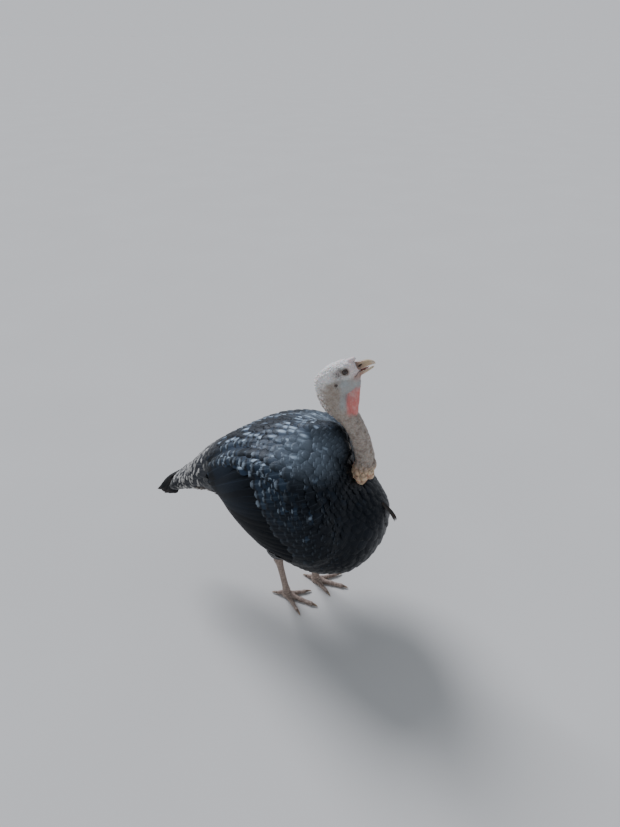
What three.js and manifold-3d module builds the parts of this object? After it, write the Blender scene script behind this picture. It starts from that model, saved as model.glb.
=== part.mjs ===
// A life-size standing domestic turkey, a young black tom with a bare head and neck.
// Millimetres, +Z up. The bird faces +X, its left side is +Y, and its toes stand on z = 0.
// The body is a set of lofted solids that meet across thin gaps, one named mesh for each part.
import * as THREE from "three";
import { mergeVertices } from "three/addons/utils/BufferGeometryUtils.js";
import Module from "manifold-3d";

const wasm = await Module();
wasm.setup();

// ---------------------------------------------------------------- driving dimensions
const GAP = 0.35; // clearance where one solid is parted in two
const CUT_CLEARANCE = 0.42; // clearance where a solid is cut by its neighbour
const BLUNT = 0.5; // half the thickness of a sheet of feathers at its edge
const BREAST_X = 237; // foremost point of the breast
const BODY_END_X = -246; // where the tail coverts begin
const COVERTS_END_X = -382;
const TAIL_LENGTH = 262; // rectrices, from inside the coverts to their tips
const TAIL_DROOP = 34; // degrees below level
const HEAD_YAW = 12; // degrees, towards the bird's left
const HEAD_PITCH = 28; // degrees, bill raised
const HEAD_PIVOT = [88, 0, 700];
const EYE_RADIUS = 7.5;
const STANCE_HALF = 42; // half the distance between the feet
const SHANK_TOP_Z = 150; // the hock
const ANKLE_Z = 17;
const FOOT_X = { right: -30, left: 27 }; // the right foot stands a little behind
const SIDES = { right: -1, left: 1 }; // sign of y
const FRAME_X = 99.7; // puts the origin under the middle of the whole bird
const FRAME_Y = 0;

// Trunk outline, back to front: x, top, bottom, half width.
const TRUNK_ROWS = [
  [COVERTS_END_X, 318, 276, 44],
  [-335, 364, 290, 54],
  [-290, 417, 303, 64],
  [BODY_END_X, 457, 317, 76],
  [-190, 499, 302, 100],
  [-120, 543, 248, 136],
  [-40, 571, 193, 163],
  [30, 575, 163, 171],
  [90, 547, 157, 163],
  [135, 498, 168, 143],
  [165, 452, 181, 122],
  [198, 416, 217, 93],
  [219, 393, 254, 66],
  [232, 366, 294, 36],
];

// ---------------------------------------------------------------- shape helpers
const radians = THREE.MathUtils.degToRad;

/** A smooth curve through the rows of a table: returns the columns at any value of the first one. */
function smoothTable(rows) {
  const slope = (i, c) => {
    const a = rows[Math.max(i - 1, 0)];
    const b = rows[Math.min(i + 1, rows.length - 1)];
    return (b[c] - a[c]) / (b[0] - a[0]);
  };
  return (x) => {
    let i = rows.findIndex((row) => row[0] > x) - 1;
    if (i < 0) i = x < rows[0][0] ? 0 : rows.length - 2;
    const span = rows[i + 1][0] - rows[i][0];
    const t = THREE.MathUtils.clamp((x - rows[i][0]) / span, 0, 1);
    const from = (1 + 2 * t) * (1 - t) ** 2;
    const to = t * t * (3 - 2 * t);
    const fromSlope = t * (1 - t) ** 2 * span;
    const toSlope = t * t * (t - 1) * span;
    return rows[0].slice(1).map((_, k) => {
      const c = k + 1;
      return rows[i][c] * from + rows[i + 1][c] * to + slope(i, c) * fromSlope + slope(i + 1, c) * toSlope;
    });
  };
}

/** Superellipse point at an angle, from 0 at the side to 90 degrees at the top. */
function sectionPoint(angle, power) {
  const bend = (v) => Math.sign(v) * Math.abs(v) ** (2 / power);
  return [bend(Math.cos(angle)), bend(Math.sin(angle))];
}

/** Closed geometry from rings of equal length, with a single vertex at each end. */
function closedRings(rings, firstPole, lastPole) {
  const count = rings[0].length;
  const points = [firstPole, ...rings.flat(), lastPole];
  const index = [];
  const at = (ring, i) => 1 + ring * count + (i % count);
  for (let i = 0; i < count; i++) {
    index.push(0, at(0, i + 1), at(0, i));
    for (let r = 0; r < rings.length - 1; r++) {
      index.push(at(r, i), at(r, i + 1), at(r + 1, i + 1));
      index.push(at(r, i), at(r + 1, i + 1), at(r + 1, i));
    }
    index.push(points.length - 1, at(rings.length - 1, i), at(rings.length - 1, i + 1));
  }
  const geometry = new THREE.BufferGeometry().setFromPoints(points);
  geometry.setIndex(index);
  return geometry;
}

/**
 * A solid carried along a path. Each station is [x, y, z, half width, reach above, reach below], where
 * "above" is the dorsal side. The first and last stations are the two poles. The rings stand square to
 * the path unless they are upright.
 */
function loft(stations, { sides = 16, steps = 2, power = 2, side = [0, 1, 0], upright = false } = {}) {
  const table = smoothTable(stations.map((row, i) => [i, ...row]));
  const across = new THREE.Vector3(...side);
  const centre = (t) => new THREE.Vector3(...table(t).slice(0, 3));
  const last = stations.length - 1;
  const rings = [];
  const count = last * steps;
  for (let k = 1; k < count; k++) {
    const t = k / steps;
    const [, , , wide, above, below] = table(t);
    const along = centre(Math.min(t + 0.05, last)).sub(centre(Math.max(t - 0.05, 0))).normalize();
    const left = across.clone();
    if (!upright) left.addScaledVector(along, -across.dot(along)).normalize();
    const up = upright ? new THREE.Vector3(0, 0, 1) : along.clone().cross(left);
    const middle = centre(t);
    const ring = [];
    for (let i = 0; i < sides; i++) {
      const [c, s] = sectionPoint((i / sides) * 2 * Math.PI, power);
      const reach = s > 0 ? above : below;
      ring.push(middle.clone().addScaledVector(left, c * wide).addScaledVector(up, s * reach));
    }
    rings.push(ring);
  }
  return closedRings(rings, centre(0), centre(last));
}

/** Closed sheet with blunt edges. top(u, v) and bottom(u, v) are its faces, u and v from 0 to 1. */
function sheet(across, along, top, bottom) {
  const rings = [];
  for (let j = 0; j <= along; j++) {
    const upper = [];
    const lower = [];
    for (let i = 0; i <= across; i++) upper.push(top(i / across, j / along));
    for (let i = across; i >= 0; i--) lower.push(bottom(i / across, j / along));
    rings.push([...upper, ...lower].reverse());
  }
  const middle = (v) => top(0.5, v).clone().lerp(bottom(0.5, v), 0.5);
  return closedRings(rings, middle(0), middle(1));
}

/** A closed geometry with its points shared, moved outwards along their normals by a distance. */
function swollen(geometry, by) {
  const bare = geometry.clone();
  bare.deleteAttribute("normal");
  bare.deleteAttribute("uv");
  const merged = mergeVertices(bare, 1e-3);
  if (by === 0) return merged;
  merged.computeVertexNormals();
  const { position, normal } = merged.attributes;
  for (let i = 0; i < position.count; i++) {
    position.setX(i, position.getX(i) + normal.getX(i) * by);
    position.setY(i, position.getY(i) + normal.getY(i) * by);
    position.setZ(i, position.getZ(i) + normal.getZ(i) * by);
  }
  return merged;
}

/** A manifold-3d solid of a closed geometry, grown outwards when it is to cut a neighbour. */
function solid(geometry, grow = 0) {
  const merged = swollen(geometry, grow);
  return new wasm.Manifold(
    new wasm.Mesh({
      numProp: 3,
      vertProperties: merged.attributes.position.array,
      triVerts: new Uint32Array(merged.index.array),
    }),
  );
}

/** Everything in the list, joined. */
const joined = (solids) => solids.reduce((a, b) => a.add(b));

/** The solid less all of the cutters. */
const less = (base, ...cutters) => cutters.reduce((a, b) => a.subtract(b), base);

/** The largest of a solid's separate bodies, which drops slivers that a cut leaves. */
const mainBody = (made) => made.decompose().reduce((a, b) => (a.volume() > b.volume() ? a : b));

/** A part as a solid, and the same grown by the clearance to cut its neighbours with. */
function piece(geometry, clearance = CUT_CLEARANCE) {
  return { made: solid(geometry), cutter: solid(geometry, clearance) };
}

/** A block that keeps everything on one side of a sloping plane, used to part a solid in two. */
function halfSpace(point, angle, sign) {
  const size = 1200;
  const geometry = new THREE.BoxGeometry(size, size, size);
  geometry.translate(sign * (size / 2 + GAP / 2), 0, 0);
  geometry.rotateY(-radians(angle));
  geometry.translate(...point);
  return solid(geometry);
}

// ---------------------------------------------------------------- finishes
const finishes = {
  black: new THREE.MeshStandardMaterial({ color: "#171a20", roughness: 0.45, metalness: 0.1 }),
  laced: new THREE.MeshStandardMaterial({ color: "#5c5a58", roughness: 0.6 }),
  skin: new THREE.MeshStandardMaterial({ color: "#a39a90", roughness: 0.6 }),
  pale: new THREE.MeshStandardMaterial({ color: "#cfd6dc", roughness: 0.6 }),
  pink: new THREE.MeshStandardMaterial({ color: "#c9665c", roughness: 0.55 }),
  horn: new THREE.MeshStandardMaterial({ color: "#a58e6e", roughness: 0.4 }),
  eye: new THREE.MeshStandardMaterial({ color: "#1b130e", roughness: 0.08 }),
  leg: new THREE.MeshStandardMaterial({ color: "#9c8a80", roughness: 0.5 }),
};

const bird = new THREE.Group();

/** Adds a solid to the bird as a named mesh, without facets smaller than a tolerance. */
function add(name, made, material, tolerance = 0.09) {
  const { numProp, vertProperties, triVerts } = mainBody(made).simplify(tolerance).getMesh();
  const points = [];
  for (let i = 0; i < vertProperties.length; i += numProp) {
    points.push(new THREE.Vector3(vertProperties[i], vertProperties[i + 1], vertProperties[i + 2]));
  }
  const geometry = new THREE.BufferGeometry().setFromPoints(points);
  geometry.setIndex(Array.from(triVerts));
  geometry.computeVertexNormals();
  const mesh = new THREE.Mesh(geometry, material);
  mesh.name = name;
  mesh.position.set(FRAME_X, FRAME_Y, 0);
  bird.add(mesh);
}

// ---------------------------------------------------------------- trunk and tail coverts
const trunkAt = smoothTable(TRUNK_ROWS);
const TRUNK_POWER = 2.12;

/** Point on the trunk's surface at x and an angle above the side, moved out by a distance. */
function onTrunk(x, angle, out, sign) {
  const [top, bottom, wide] = trunkAt(x);
  const [c, s] = sectionPoint(angle, TRUNK_POWER);
  const high = (top - bottom) / 2;
  return new THREE.Vector3(x, sign * c * (wide + out), (top + bottom) / 2 + s * (high + out));
}

/** The whole feathered body from the covert tips to the breast, as a row of stations for loft(). */
function bodyRows() {
  const [tailTop, tailBottom] = TRUNK_ROWS[0].slice(1);
  const rows = TRUNK_ROWS.map(([x, top, bottom, wide]) => {
    const high = (top - bottom) / 2;
    return [x, 0, (top + bottom) / 2, wide, high, high];
  });
  return [
    [COVERTS_END_X - 14, 0, (tailTop + tailBottom) / 2 - 8, 0, 0, 0],
    ...rows,
    [BREAST_X, 0, 330, 0, 0, 0],
  ];
}
const body = piece(loft(bodyRows(), { sides: 24, steps: 1, power: TRUNK_POWER, upright: true }));
const COVERTS_TILT = 25; // the parting leans with the slope of the rump
const partAt = [BODY_END_X, 0, 386];

// ---------------------------------------------------------------- tail feathers
const TAIL_FEATHERS = 5; // feather tips that show across the folded fan
const TAIL_ROOT = [-243, 0, 384];

/** The folded fan: an arched sheet that widens to rounded feather tips. */
function tailFan() {
  const droop = radians(TAIL_DROOP);
  const back = new THREE.Vector3(-Math.cos(droop), 0, -Math.sin(droop));
  const up = new THREE.Vector3(-Math.sin(droop), 0, Math.cos(droop));
  const place = (u, v, lift) => {
    const s = 2 * u - 1;
    const lobes = 7 * Math.abs(Math.sin(u * Math.PI * TAIL_FEATHERS));
    const reach = TAIL_LENGTH * (1 - 0.22 * s * s) - 7 + lobes * v ** 3;
    const wide = THREE.MathUtils.lerp(27, 41, Math.min(v * 1.35, 1));
    const edge = Math.sqrt(Math.max(1 - s ** 6, 0));
    const thick = THREE.MathUtils.lerp(9, 2.2, v) * edge + BLUNT;
    return new THREE.Vector3(...TAIL_ROOT)
      .addScaledVector(back, v * reach)
      .addScaledVector(up, lift * thick - 13 * s * s)
      .add(new THREE.Vector3(0, -s * wide, 0));
  };
  return sheet(21, 3, (u, v) => place(u, v, 1), (u, v) => place(u, v, -1));
}
const tail = piece(tailFan());

const coverts = body.made.intersect(halfSpace(partAt, COVERTS_TILT, -1));
const trunk = body.made.intersect(halfSpace(partAt, COVERTS_TILT, 1));
add("trunk", less(trunk, tail.cutter), finishes.black, 0.15);
add("tail_coverts", less(coverts, tail.cutter), finishes.laced, 0.15);
add("tail_fan", tail.made, finishes.black);

// ---------------------------------------------------------------- head
const headPlace = new THREE.Matrix4()
  .makeTranslation(...HEAD_PIVOT)
  .multiply(new THREE.Matrix4().makeRotationZ(radians(HEAD_YAW)))
  .multiply(new THREE.Matrix4().makeRotationY(-radians(HEAD_PITCH)));

/** A piece built about the head's own pivot, with +X along the skull, put in its place. */
const inHead = (geometry) => piece(geometry.applyMatrix4(headPlace));

// Head, from nape to forehead: x, y, z of the middle, half width, reach above, reach below.
const HEAD_ROWS = [
  [-45, 0, 2, 0, 0, 0],
  [-39, 0, 3, 13, 17, 18],
  [-24, 0, 6, 20.5, 30, 32],
  [-2, 0, 9, 24, 37, 38],
  [22, 0, 13, 24.5, 39.5, 40],
  [42, 0, 19, 22.5, 33, 37],
  [56, 0, 22, 17.5, 26.5, 27],
  [66, 0, 24, 12.5, 18, 17],
  [73, 0, 25, 0, 0, 0],
];
const UPPER_BILL_ROWS = [
  [56, 0, 25, 0, 0, 0],
  [60, 0, 25.5, 10.5, 11, 9],
  [70, 0, 25.5, 9.8, 11, 9],
  [82, 0, 25, 8.2, 10, 8.2],
  [93, 0, 24, 6.2, 8.2, 6.4],
  [101, 0, 21.8, 4.2, 6, 5],
  [106, 0, 18.5, 2.2, 3.6, 3.2],
  [108, 0, 15, 0, 0, 0],
];
const LOWER_BILL_ROWS = [
  [46, 0, 8, 0, 0, 0],
  [56, 0, 8.5, 10.2, 5.6, 6.5],
  [68, 0, 8.6, 8.8, 5, 5.6],
  [80, 0, 8.9, 7, 4.1, 4.2],
  [92, 0, 10, 4.9, 3, 3],
  [100, 0, 11, 3, 2, 2],
  [104, 0, 12, 0, 0, 0],
];
const SNOOD_ROWS = [
  [48, 0, 43, 0, 0, 0],
  [56, 0, 45, 6, 5.2, 5],
  [64, 0, 45.5, 5, 4.4, 4.4],
  [71, 0, 45, 3.4, 3.1, 3.1],
  [76, 0, 43.5, 0, 0, 0],
];
const EYE_PLACE = [42, 16.4, 30.5];
const EAR_PLACE = [10.5, 26.5, 10.5];

/** A ball in the head's own frame, on one side. */
function headBall([x, y, z], radius, sign) {
  const geometry = new THREE.SphereGeometry(radius, 10, 7);
  geometry.translate(x, sign * y, z);
  return inHead(geometry);
}

const skull = inHead(loft(HEAD_ROWS, { sides: 14, power: 2.1 }));
const upperBill = inHead(loft(UPPER_BILL_ROWS, { sides: 12, steps: 1, power: 2.3 }));
const lowerBill = inHead(loft(LOWER_BILL_ROWS, { sides: 12, steps: 1, power: 2.3 }));
const snood = inHead(loft(SNOOD_ROWS, { sides: 8, steps: 1 }));
const eyes = { right: headBall(EYE_PLACE, EYE_RADIUS, -1), left: headBall(EYE_PLACE, EYE_RADIUS, 1) };
const ears = [-1, 1].map((sign) => headBall(EAR_PLACE, 3.6, sign).made);
const eyeSockets = Object.values(eyes).map((eye) => eye.cutter);
add("head", less(skull.made, ...eyeSockets, ...ears), finishes.pale);
add("upper_bill", less(upperBill.made, skull.cutter), finishes.horn);
add("lower_bill", less(lowerBill.made, skull.cutter, upperBill.cutter), finishes.horn);
add("snood", less(snood.made, skull.cutter, upperBill.cutter), finishes.pale);
for (const [name, eye] of Object.entries(eyes)) add(`eye_${name}`, eye.made, finishes.eye, 0.02);

// ---------------------------------------------------------------- neck, dewlap, caruncles and beard
// Centre line of the neck from inside the breast to inside the head.
const NECK_ROWS = [
  [120, 0, 420, 0, 0, 0],
  [148, 0, 446, 26, 28, 27],
  [163, 0, 478, 23, 24, 25],
  [168, 0, 508, 21.5, 22, 23],
  [163, 0, 540, 21.5, 22.5, 22.5],
  [152, 0, 575, 21.5, 22.5, 22],
  [137, 0, 606, 22, 23.5, 22],
  [116, 0, 634, 23, 30, 24],
  [95, 0, 660, 24, 39, 27],
  [84, 0, 686, 23, 41, 30],
  [88, 2, 712, 17, 22, 22],
  [96, 4, 728, 0, 0, 0],
];
const NECK_PARTING = [152, 0, 572];
const NECK_PARTING_TILT = 108; // degrees, square to the neck where it is parted

// The dark feathers that rise from the back to the bare neck.
const NAPE_ROWS = [
  [-30, 0, 540, 0, 0, 0],
  [10, 0, 545, 34, 33, 30],
  [55, 0, 545, 37, 47, 40],
  [92, 0, 545, 32, 50, 46],
  [118, 0, 540, 24, 34, 50],
  [138, 0, 525, 0, 0, 0],
];

// Throat flap: hangs from the jaw down the front of the upper neck.
const DEWLAP_ROWS = [
  [128, 6, 738, 0, 0, 0],
  [130, 5.5, 724, 5, 16, 13],
  [128, 4, 702, 5, 17, 15],
  [127, 2.5, 678, 4.6, 16, 16.5],
  [128, 1, 655, 4.2, 14, 16.5],
  [132, 0, 638, 3.4, 11, 12],
  [136, 0, 627, 0, 0, 0],
];

// The fleshy beads where the bare neck meets the breast: x, y, z, radius.
const CARUNCLE_BEADS = [
  [170, -13, 462, 14.5],
  [175, 7, 459, 13.5],
  [163, -24, 475, 11.5],
  [166, 21, 476, 11],
  [178, -3, 476, 12.5],
];
const BEARD_ROWS = [
  [218, 0, 398, 0, 0, 0],
  [226, 0, 396, 6, 5, 5],
  [243, 0, 387, 5, 4, 4],
  [256, 0, 371, 4, 3, 3],
  [260, 0, 352, 2.6, 2, 2],
  [260, 0, 344, 0, 0, 0],
];

/** One round bead of bare skin. */
function bead([x, y, z, radius]) {
  const geometry = new THREE.SphereGeometry(radius, 10, 7);
  geometry.translate(x, y, z);
  return solid(geometry);
}
const neck = piece(loft(NECK_ROWS, { sides: 14 }));
const nape = piece(loft(NAPE_ROWS, { sides: 14, upright: true }));
const beads = joined(CARUNCLE_BEADS.map(bead));
const neckMade = less(neck.made, skull.cutter, body.cutter, nape.cutter);
add("neck_ruff", less(nape.made, body.cutter), finishes.black);
for (const [name, sign] of [["neck_upper", 1], ["neck_lower", -1]]) {
  add(name, neckMade.intersect(halfSpace(NECK_PARTING, NECK_PARTING_TILT, sign)), finishes.skin);
}
const dewlap = piece(loft(DEWLAP_ROWS, { sides: 12 }));
add("dewlap", less(dewlap.made, skull.cutter, neck.cutter, lowerBill.cutter), finishes.pink);
add("caruncles", less(beads, neck.cutter, body.cutter), finishes.skin);
add("beard", less(piece(loft(BEARD_ROWS, { sides: 10, steps: 1 })).made, body.cutter), finishes.black);

// ---------------------------------------------------------------- wings
// The folded wing wraps the flank: x, lower edge and upper edge in degrees round the trunk, thickness.
const WING_ROWS = [
  [-242, 0, 24, 3],
  [-215, -14, 44, 7],
  [-175, -29, 55, 11],
  [-115, -38, 60, 16],
  [-50, -38, 60, 19],
  [20, -34, 56, 21],
  [80, -28, 48, 21],
  [120, -18, 38, 17],
  [150, -6, 22, 8],
];
const WING_TUCK = 6; // how far the shell starts below the trunk's surface, to be cut flush
const WING_ENDS = [-250, 160]; // its rear and front points
const WING_PARTING = [-32, 0, 462]; // from the wrist up and back to the elbow
const WING_PARTING_TILT = 37;

/** One folded wing as a closed shell over the trunk, with its thickest part along the middle. */
function wingShell(sign) {
  const at = smoothTable(WING_ROWS);
  const rings = [];
  const across = 6;
  const along = 12;
  const last = WING_ROWS.length - 1;
  for (let k = 0; k <= along; k++) {
    const x = THREE.MathUtils.lerp(WING_ROWS[0][0], WING_ROWS[last][0], k / along);
    const [low, high, thick] = at(x);
    const outer = [];
    const inner = [];
    for (let i = 0; i <= across; i++) {
      const u = i / across;
      const angle = radians(THREE.MathUtils.lerp(low, high, u));
      outer.push(onTrunk(x, angle, 1.5 + thick * Math.sin(Math.PI * u) ** 0.55, sign));
      if (i > 0 && i < across) inner.unshift(onTrunk(x, angle, -WING_TUCK, sign));
    }
    rings.push(sign > 0 ? [...outer, ...inner] : [...outer, ...inner].reverse());
  }
  const pole = (x, row) => onTrunk(x, radians((row[1] + row[2]) / 2), 0, sign);
  return closedRings(rings, pole(WING_ENDS[0], WING_ROWS[0]), pole(WING_ENDS[1], WING_ROWS[last]));
}

/** The longest wing feathers, which show as a blade under the tips of the shorter ones. */
function primaryBlade(sign) {
  const place = (u, v, lift) => {
    const s = 2 * u - 1;
    const x = THREE.MathUtils.lerp(-80, -240, v) + 22 * s * v;
    const angle = radians(THREE.MathUtils.lerp(-38, -16, v) + s * THREE.MathUtils.lerp(9, 12, v));
    const thick = (4.4 - 2.6 * v) * Math.sqrt(1 - s ** 4) + BLUNT;
    const rise = THREE.MathUtils.lerp(-9, 5, Math.min(v * 4, 1)); // it comes out of the flank
    return onTrunk(x, angle, rise + lift * thick, sign);
  };
  return sheet(5, 6, (u, v) => place(u, v, sign), (u, v) => place(u, v, -sign));
}

for (const [name, sign] of Object.entries(SIDES)) {
  const blade = piece(primaryBlade(sign));
  const whole = less(piece(wingShell(sign)).made, body.cutter, tail.cutter, blade.cutter);
  const front = whole.intersect(halfSpace(WING_PARTING, WING_PARTING_TILT, 1));
  const rear = whole.intersect(halfSpace(WING_PARTING, WING_PARTING_TILT, -1));
  add(`wing_${name}_coverts`, front, finishes.black, 0.1);
  add(`wing_${name}_secondaries`, rear, finishes.black);
  add(`wing_${name}_primaries`, less(blade.made, body.cutter, tail.cutter), finishes.black);
}

// ---------------------------------------------------------------- legs and feet
const TOES = [
  { name: "middle", heading: 4, length: 84, radius: 7.6 }, // heading in degrees outwards
  { name: "inner", heading: -34, length: 58, radius: 6.8 },
  { name: "outer", heading: 40, length: 68, radius: 6.8 },
  { name: "hind", heading: 172, length: 31, radius: 5.4 },
];
const CLAW_LENGTH = 15;
const SOLE_REACH = 1.4; // a toe is this much deeper than round before its sole is flattened

/** Keeps a geometry on or above a level, which makes the flat it stands on. */
function flatBelow(geometry, level) {
  const place = geometry.attributes.position;
  for (let i = 0; i < place.count; i++) place.setZ(i, Math.max(place.getZ(i), level));
  return geometry;
}

/** A toe or claw from rows of distance along its heading, height and radius. */
function digit([x, y], heading, rows, sides, level) {
  const way = radians(heading);
  const stations = rows.map(([far, z, r]) => {
    return [x + far * Math.cos(way), y + far * Math.sin(way), z, r, r, SOLE_REACH * r];
  });
  const side = [-Math.sin(way), Math.cos(way), 0];
  return piece(flatBelow(loft(stations, { sides, side, steps: 1 }), level));
}

/** Rows of a toe for digit(): the hind one slopes down from the shank and the others lie flat. */
function toeRows({ name, length, radius }) {
  if (name === "hind") {
    return [
      [2, 15, 0],
      [8, 14, radius],
      [length * 0.6, 9, radius],
      [length - 3, 4.6, radius - 1],
      [length, 4, 0],
    ];
  }
  return [
    [0, 6, 0],
    [8, 6.2, radius + 0.6],
    [length * 0.32, 5.8, radius - 0.2],
    [length * 0.55, 5.6, radius - 0.8],
    [length * 0.8, 5, radius - 1.8],
    [length - 4, 5, radius - 1.8],
    [length, 4.4, 0],
  ];
}

/** Rows of a claw for digit(), curving down from the end of its toe. */
function clawRows({ length }) {
  return [
    [length - 6, 6.2, 0],
    [length - 3, 6.2, 3.2],
    [length + CLAW_LENGTH * 0.4, 5.4, 2.5],
    [length + CLAW_LENGTH * 0.75, 3.6, 1.6],
    [length + CLAW_LENGTH, 1.2, 0],
  ];
}

for (const [name, sign] of Object.entries(SIDES)) {
  const footX = FOOT_X[name];
  const footY = sign * STANCE_HALF;
  const hockX = footX - 20;
  const hockY = sign * (STANCE_HALF + 6);
  const side = [0, -1, 0];
  const shankRows = [
    [hockX - 3, hockY, SHANK_TOP_Z + 20, 0, 0, 0],
    [hockX - 1, hockY, SHANK_TOP_Z + 8, 11, 13, 12],
    [hockX, hockY, SHANK_TOP_Z - 6, 12.5, 15, 13],
    [hockX + 4, hockY - sign, SHANK_TOP_Z - 30, 8.6, 11, 9.5],
    [hockX + 10, hockY - sign * 3, 80, 7.6, 9.8, 9],
    [footX - 4, footY, 38, 8.6, 10.2, 9.6],
    [footX - 1, footY, ANKLE_Z + 4, 11, 11.5, 11],
    [footX, footY, 7, 0, 0, 0],
  ];
  const thighRows = [
    [hockX + 46, sign * 70, 290, 0, 0, 0],
    [hockX + 40, sign * 70, 262, 44, 50, 44],
    [hockX + 26, sign * 64, 220, 44, 52, 44],
    [hockX + 10, sign * 56, 186, 30, 36, 30],
    [hockX + 1, hockY, 160, 18, 21, 19],
    [hockX - 1, hockY, 146, 0, 0, 0],
  ];
  const padRows = [
    [footX - 15, footY, 7, 0, 0, 0],
    [footX - 10, footY, 7, 9, 9, 14],
    [footX + 2, footY, 7, 13, 12, 15],
    [footX + 13, footY, 7, 12, 9, 14],
    [footX + 20, footY, 7, 0, 0, 0],
  ];
  const spurRows = [
    [footX - 6, footY - sign * 2, 57, 0, 0, 0],
    [footX - 12, footY - sign * 5, 57, 4, 4, 4],
    [footX - 20, footY - sign * 9, 59, 2.6, 2.6, 2.6],
    [footX - 25, footY - sign * 11, 62, 0, 0, 0],
  ];
  const shank = piece(loft(shankRows, { sides: 10, side }));
  const thigh = piece(loft(thighRows, { sides: 12, steps: 1, side }));
  const pad = piece(flatBelow(loft(padRows, { sides: 12, steps: 1 }), 0));
  const spur = piece(loft(spurRows, { sides: 8, steps: 1 }));
  add(`thigh_${name}`, less(thigh.made, body.cutter, shank.cutter), finishes.black);
  add(`shank_${name}`, less(shank.made, body.cutter, pad.cutter), finishes.leg);
  add(`spur_${name}`, less(spur.made, shank.cutter), finishes.horn);
  add(`foot_${name}`, pad.made, finishes.leg);
  const done = [pad.cutter, shank.cutter];
  for (const toe of TOES) {
    const whole = digit([footX, footY], sign * toe.heading, toeRows(toe), 8, 0);
    const claw = digit([footX, footY], sign * toe.heading, clawRows(toe), 6, 0.3);
    add(`toe_${name}_${toe.name}`, less(whole.made, claw.cutter, ...done), finishes.leg);
    add(`claw_${name}_${toe.name}`, claw.made, finishes.horn);
    done.push(whole.cutter);
  }
}

export default bird;
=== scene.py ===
"""Finish of a life-size domestic turkey: one skin under plumage, bare head and neck, scaled legs.

Shapes are worked out in the bird's own frame, in millimetres with +X forward, +Y left and +Z up, and
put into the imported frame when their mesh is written.
"""
from __future__ import annotations

import logging
import math
from collections.abc import Callable, Sequence
from dataclasses import dataclass, field
from enum import Enum
from functools import partial

import bpy
import numpy as np
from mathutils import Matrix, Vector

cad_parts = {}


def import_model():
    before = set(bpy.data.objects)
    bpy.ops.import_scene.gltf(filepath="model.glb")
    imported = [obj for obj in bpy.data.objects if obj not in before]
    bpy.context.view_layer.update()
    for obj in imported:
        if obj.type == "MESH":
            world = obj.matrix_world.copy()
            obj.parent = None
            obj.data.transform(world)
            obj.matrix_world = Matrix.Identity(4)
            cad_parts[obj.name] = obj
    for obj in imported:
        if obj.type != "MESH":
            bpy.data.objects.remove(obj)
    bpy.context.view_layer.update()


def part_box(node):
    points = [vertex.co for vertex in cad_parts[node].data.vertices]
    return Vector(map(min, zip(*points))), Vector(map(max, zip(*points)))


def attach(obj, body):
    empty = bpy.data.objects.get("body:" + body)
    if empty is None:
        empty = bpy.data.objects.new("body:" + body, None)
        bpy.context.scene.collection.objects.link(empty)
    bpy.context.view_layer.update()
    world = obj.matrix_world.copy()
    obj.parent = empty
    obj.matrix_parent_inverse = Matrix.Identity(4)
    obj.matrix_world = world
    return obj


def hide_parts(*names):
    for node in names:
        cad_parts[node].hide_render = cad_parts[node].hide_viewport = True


log = logging.getLogger("turkey")
Array = np.ndarray
Rows = Sequence[Sequence[float]]
Field = Callable[[Array], Array]
AddNode = Callable[..., bpy.types.NodeSocket]

MM = 0.001
BREAST_X = 237.0  # foremost point of the breast in the bird's own frame
BAKE_PATCH = 0.003  # side of a feather's patch on the bake map
SHARP_FROM = math.radians(75)  # edges that turn further than this stay crisp


class Side(Enum):
    """The two sides of the bird, with the sign of y."""

    RIGHT = -1
    LEFT = 1

    @property
    def label(self) -> str:
        """The side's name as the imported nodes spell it."""
        return self.name.lower()


# ---------------------------------------------------------------- numbers and surfaces
def smooth_table(rows: Rows, at: Array | float) -> Array:
    """A smooth curve through the rows of a table.

    Each span is a cubic whose slope at a row is that of the line through the rows on either side.

    Args:
        rows: the table, with the running value in its first column.
        at: values of the first column.

    Returns:
        The other columns at those values, as the last axis.
    """
    table = np.asarray(rows, float)
    at = np.asarray(at, float)
    knots = table[:, 0]
    last = len(table) - 1
    before = np.maximum(np.arange(last + 1) - 1, 0)
    after = np.minimum(np.arange(last + 1) + 1, last)
    slopes = (table[after] - table[before]) / (knots[after] - knots[before])[:, None]
    i = np.clip(np.searchsorted(knots, at, side="right") - 1, 0, last - 1)
    span = (knots[i + 1] - knots[i])[..., None]
    t = np.clip((at[..., None] - knots[i][..., None]) / span, 0, 1)
    value = table[i] * (1 + 2 * t) * (1 - t) ** 2 + table[i + 1] * t**2 * (3 - 2 * t)
    value += slopes[i] * t * (1 - t) ** 2 * span + slopes[i + 1] * t**2 * (t - 1) * span
    return value[..., 1:]


def unit(vectors: Array) -> Array:
    """The vectors with length one."""
    return vectors / np.maximum(np.linalg.norm(vectors, axis=-1, keepdims=True), 1e-9)


def ease(low: float, high: float, value: Array) -> Array:
    """0 below low, 1 above high, and an S-shaped cubic between."""
    t = np.clip((value - low) / (high - low), 0, 1)
    return t * t * (3 - 2 * t)


def mix(a: Array | float, b: Array | float, share: Array | float) -> Array:
    """Straight mix of a and b."""
    return a + (b - a) * share


def onto(normals: Array, ways: Array) -> Array:
    """The ways laid onto the surface that has those normals, with length one."""
    return unit(ways - normals * np.sum(ways * normals, -1, keepdims=True))


def turn(axis: str, degrees: float) -> Array:
    """Rotation matrix about y or z."""
    c, s = math.cos(math.radians(degrees)), math.sin(math.radians(degrees))
    return {
        "y": np.array([[c, 0, s], [0, 1, 0], [-s, 0, c]]),
        "z": np.array([[c, -s, 0], [s, c, 0], [0, 0, 1]]),
    }[axis]


def bent(value: Array, power: float) -> Array:
    """A cosine or sine bent for a superellipse of that power."""
    return np.sign(value) * np.abs(value) ** (2 / power)


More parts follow.
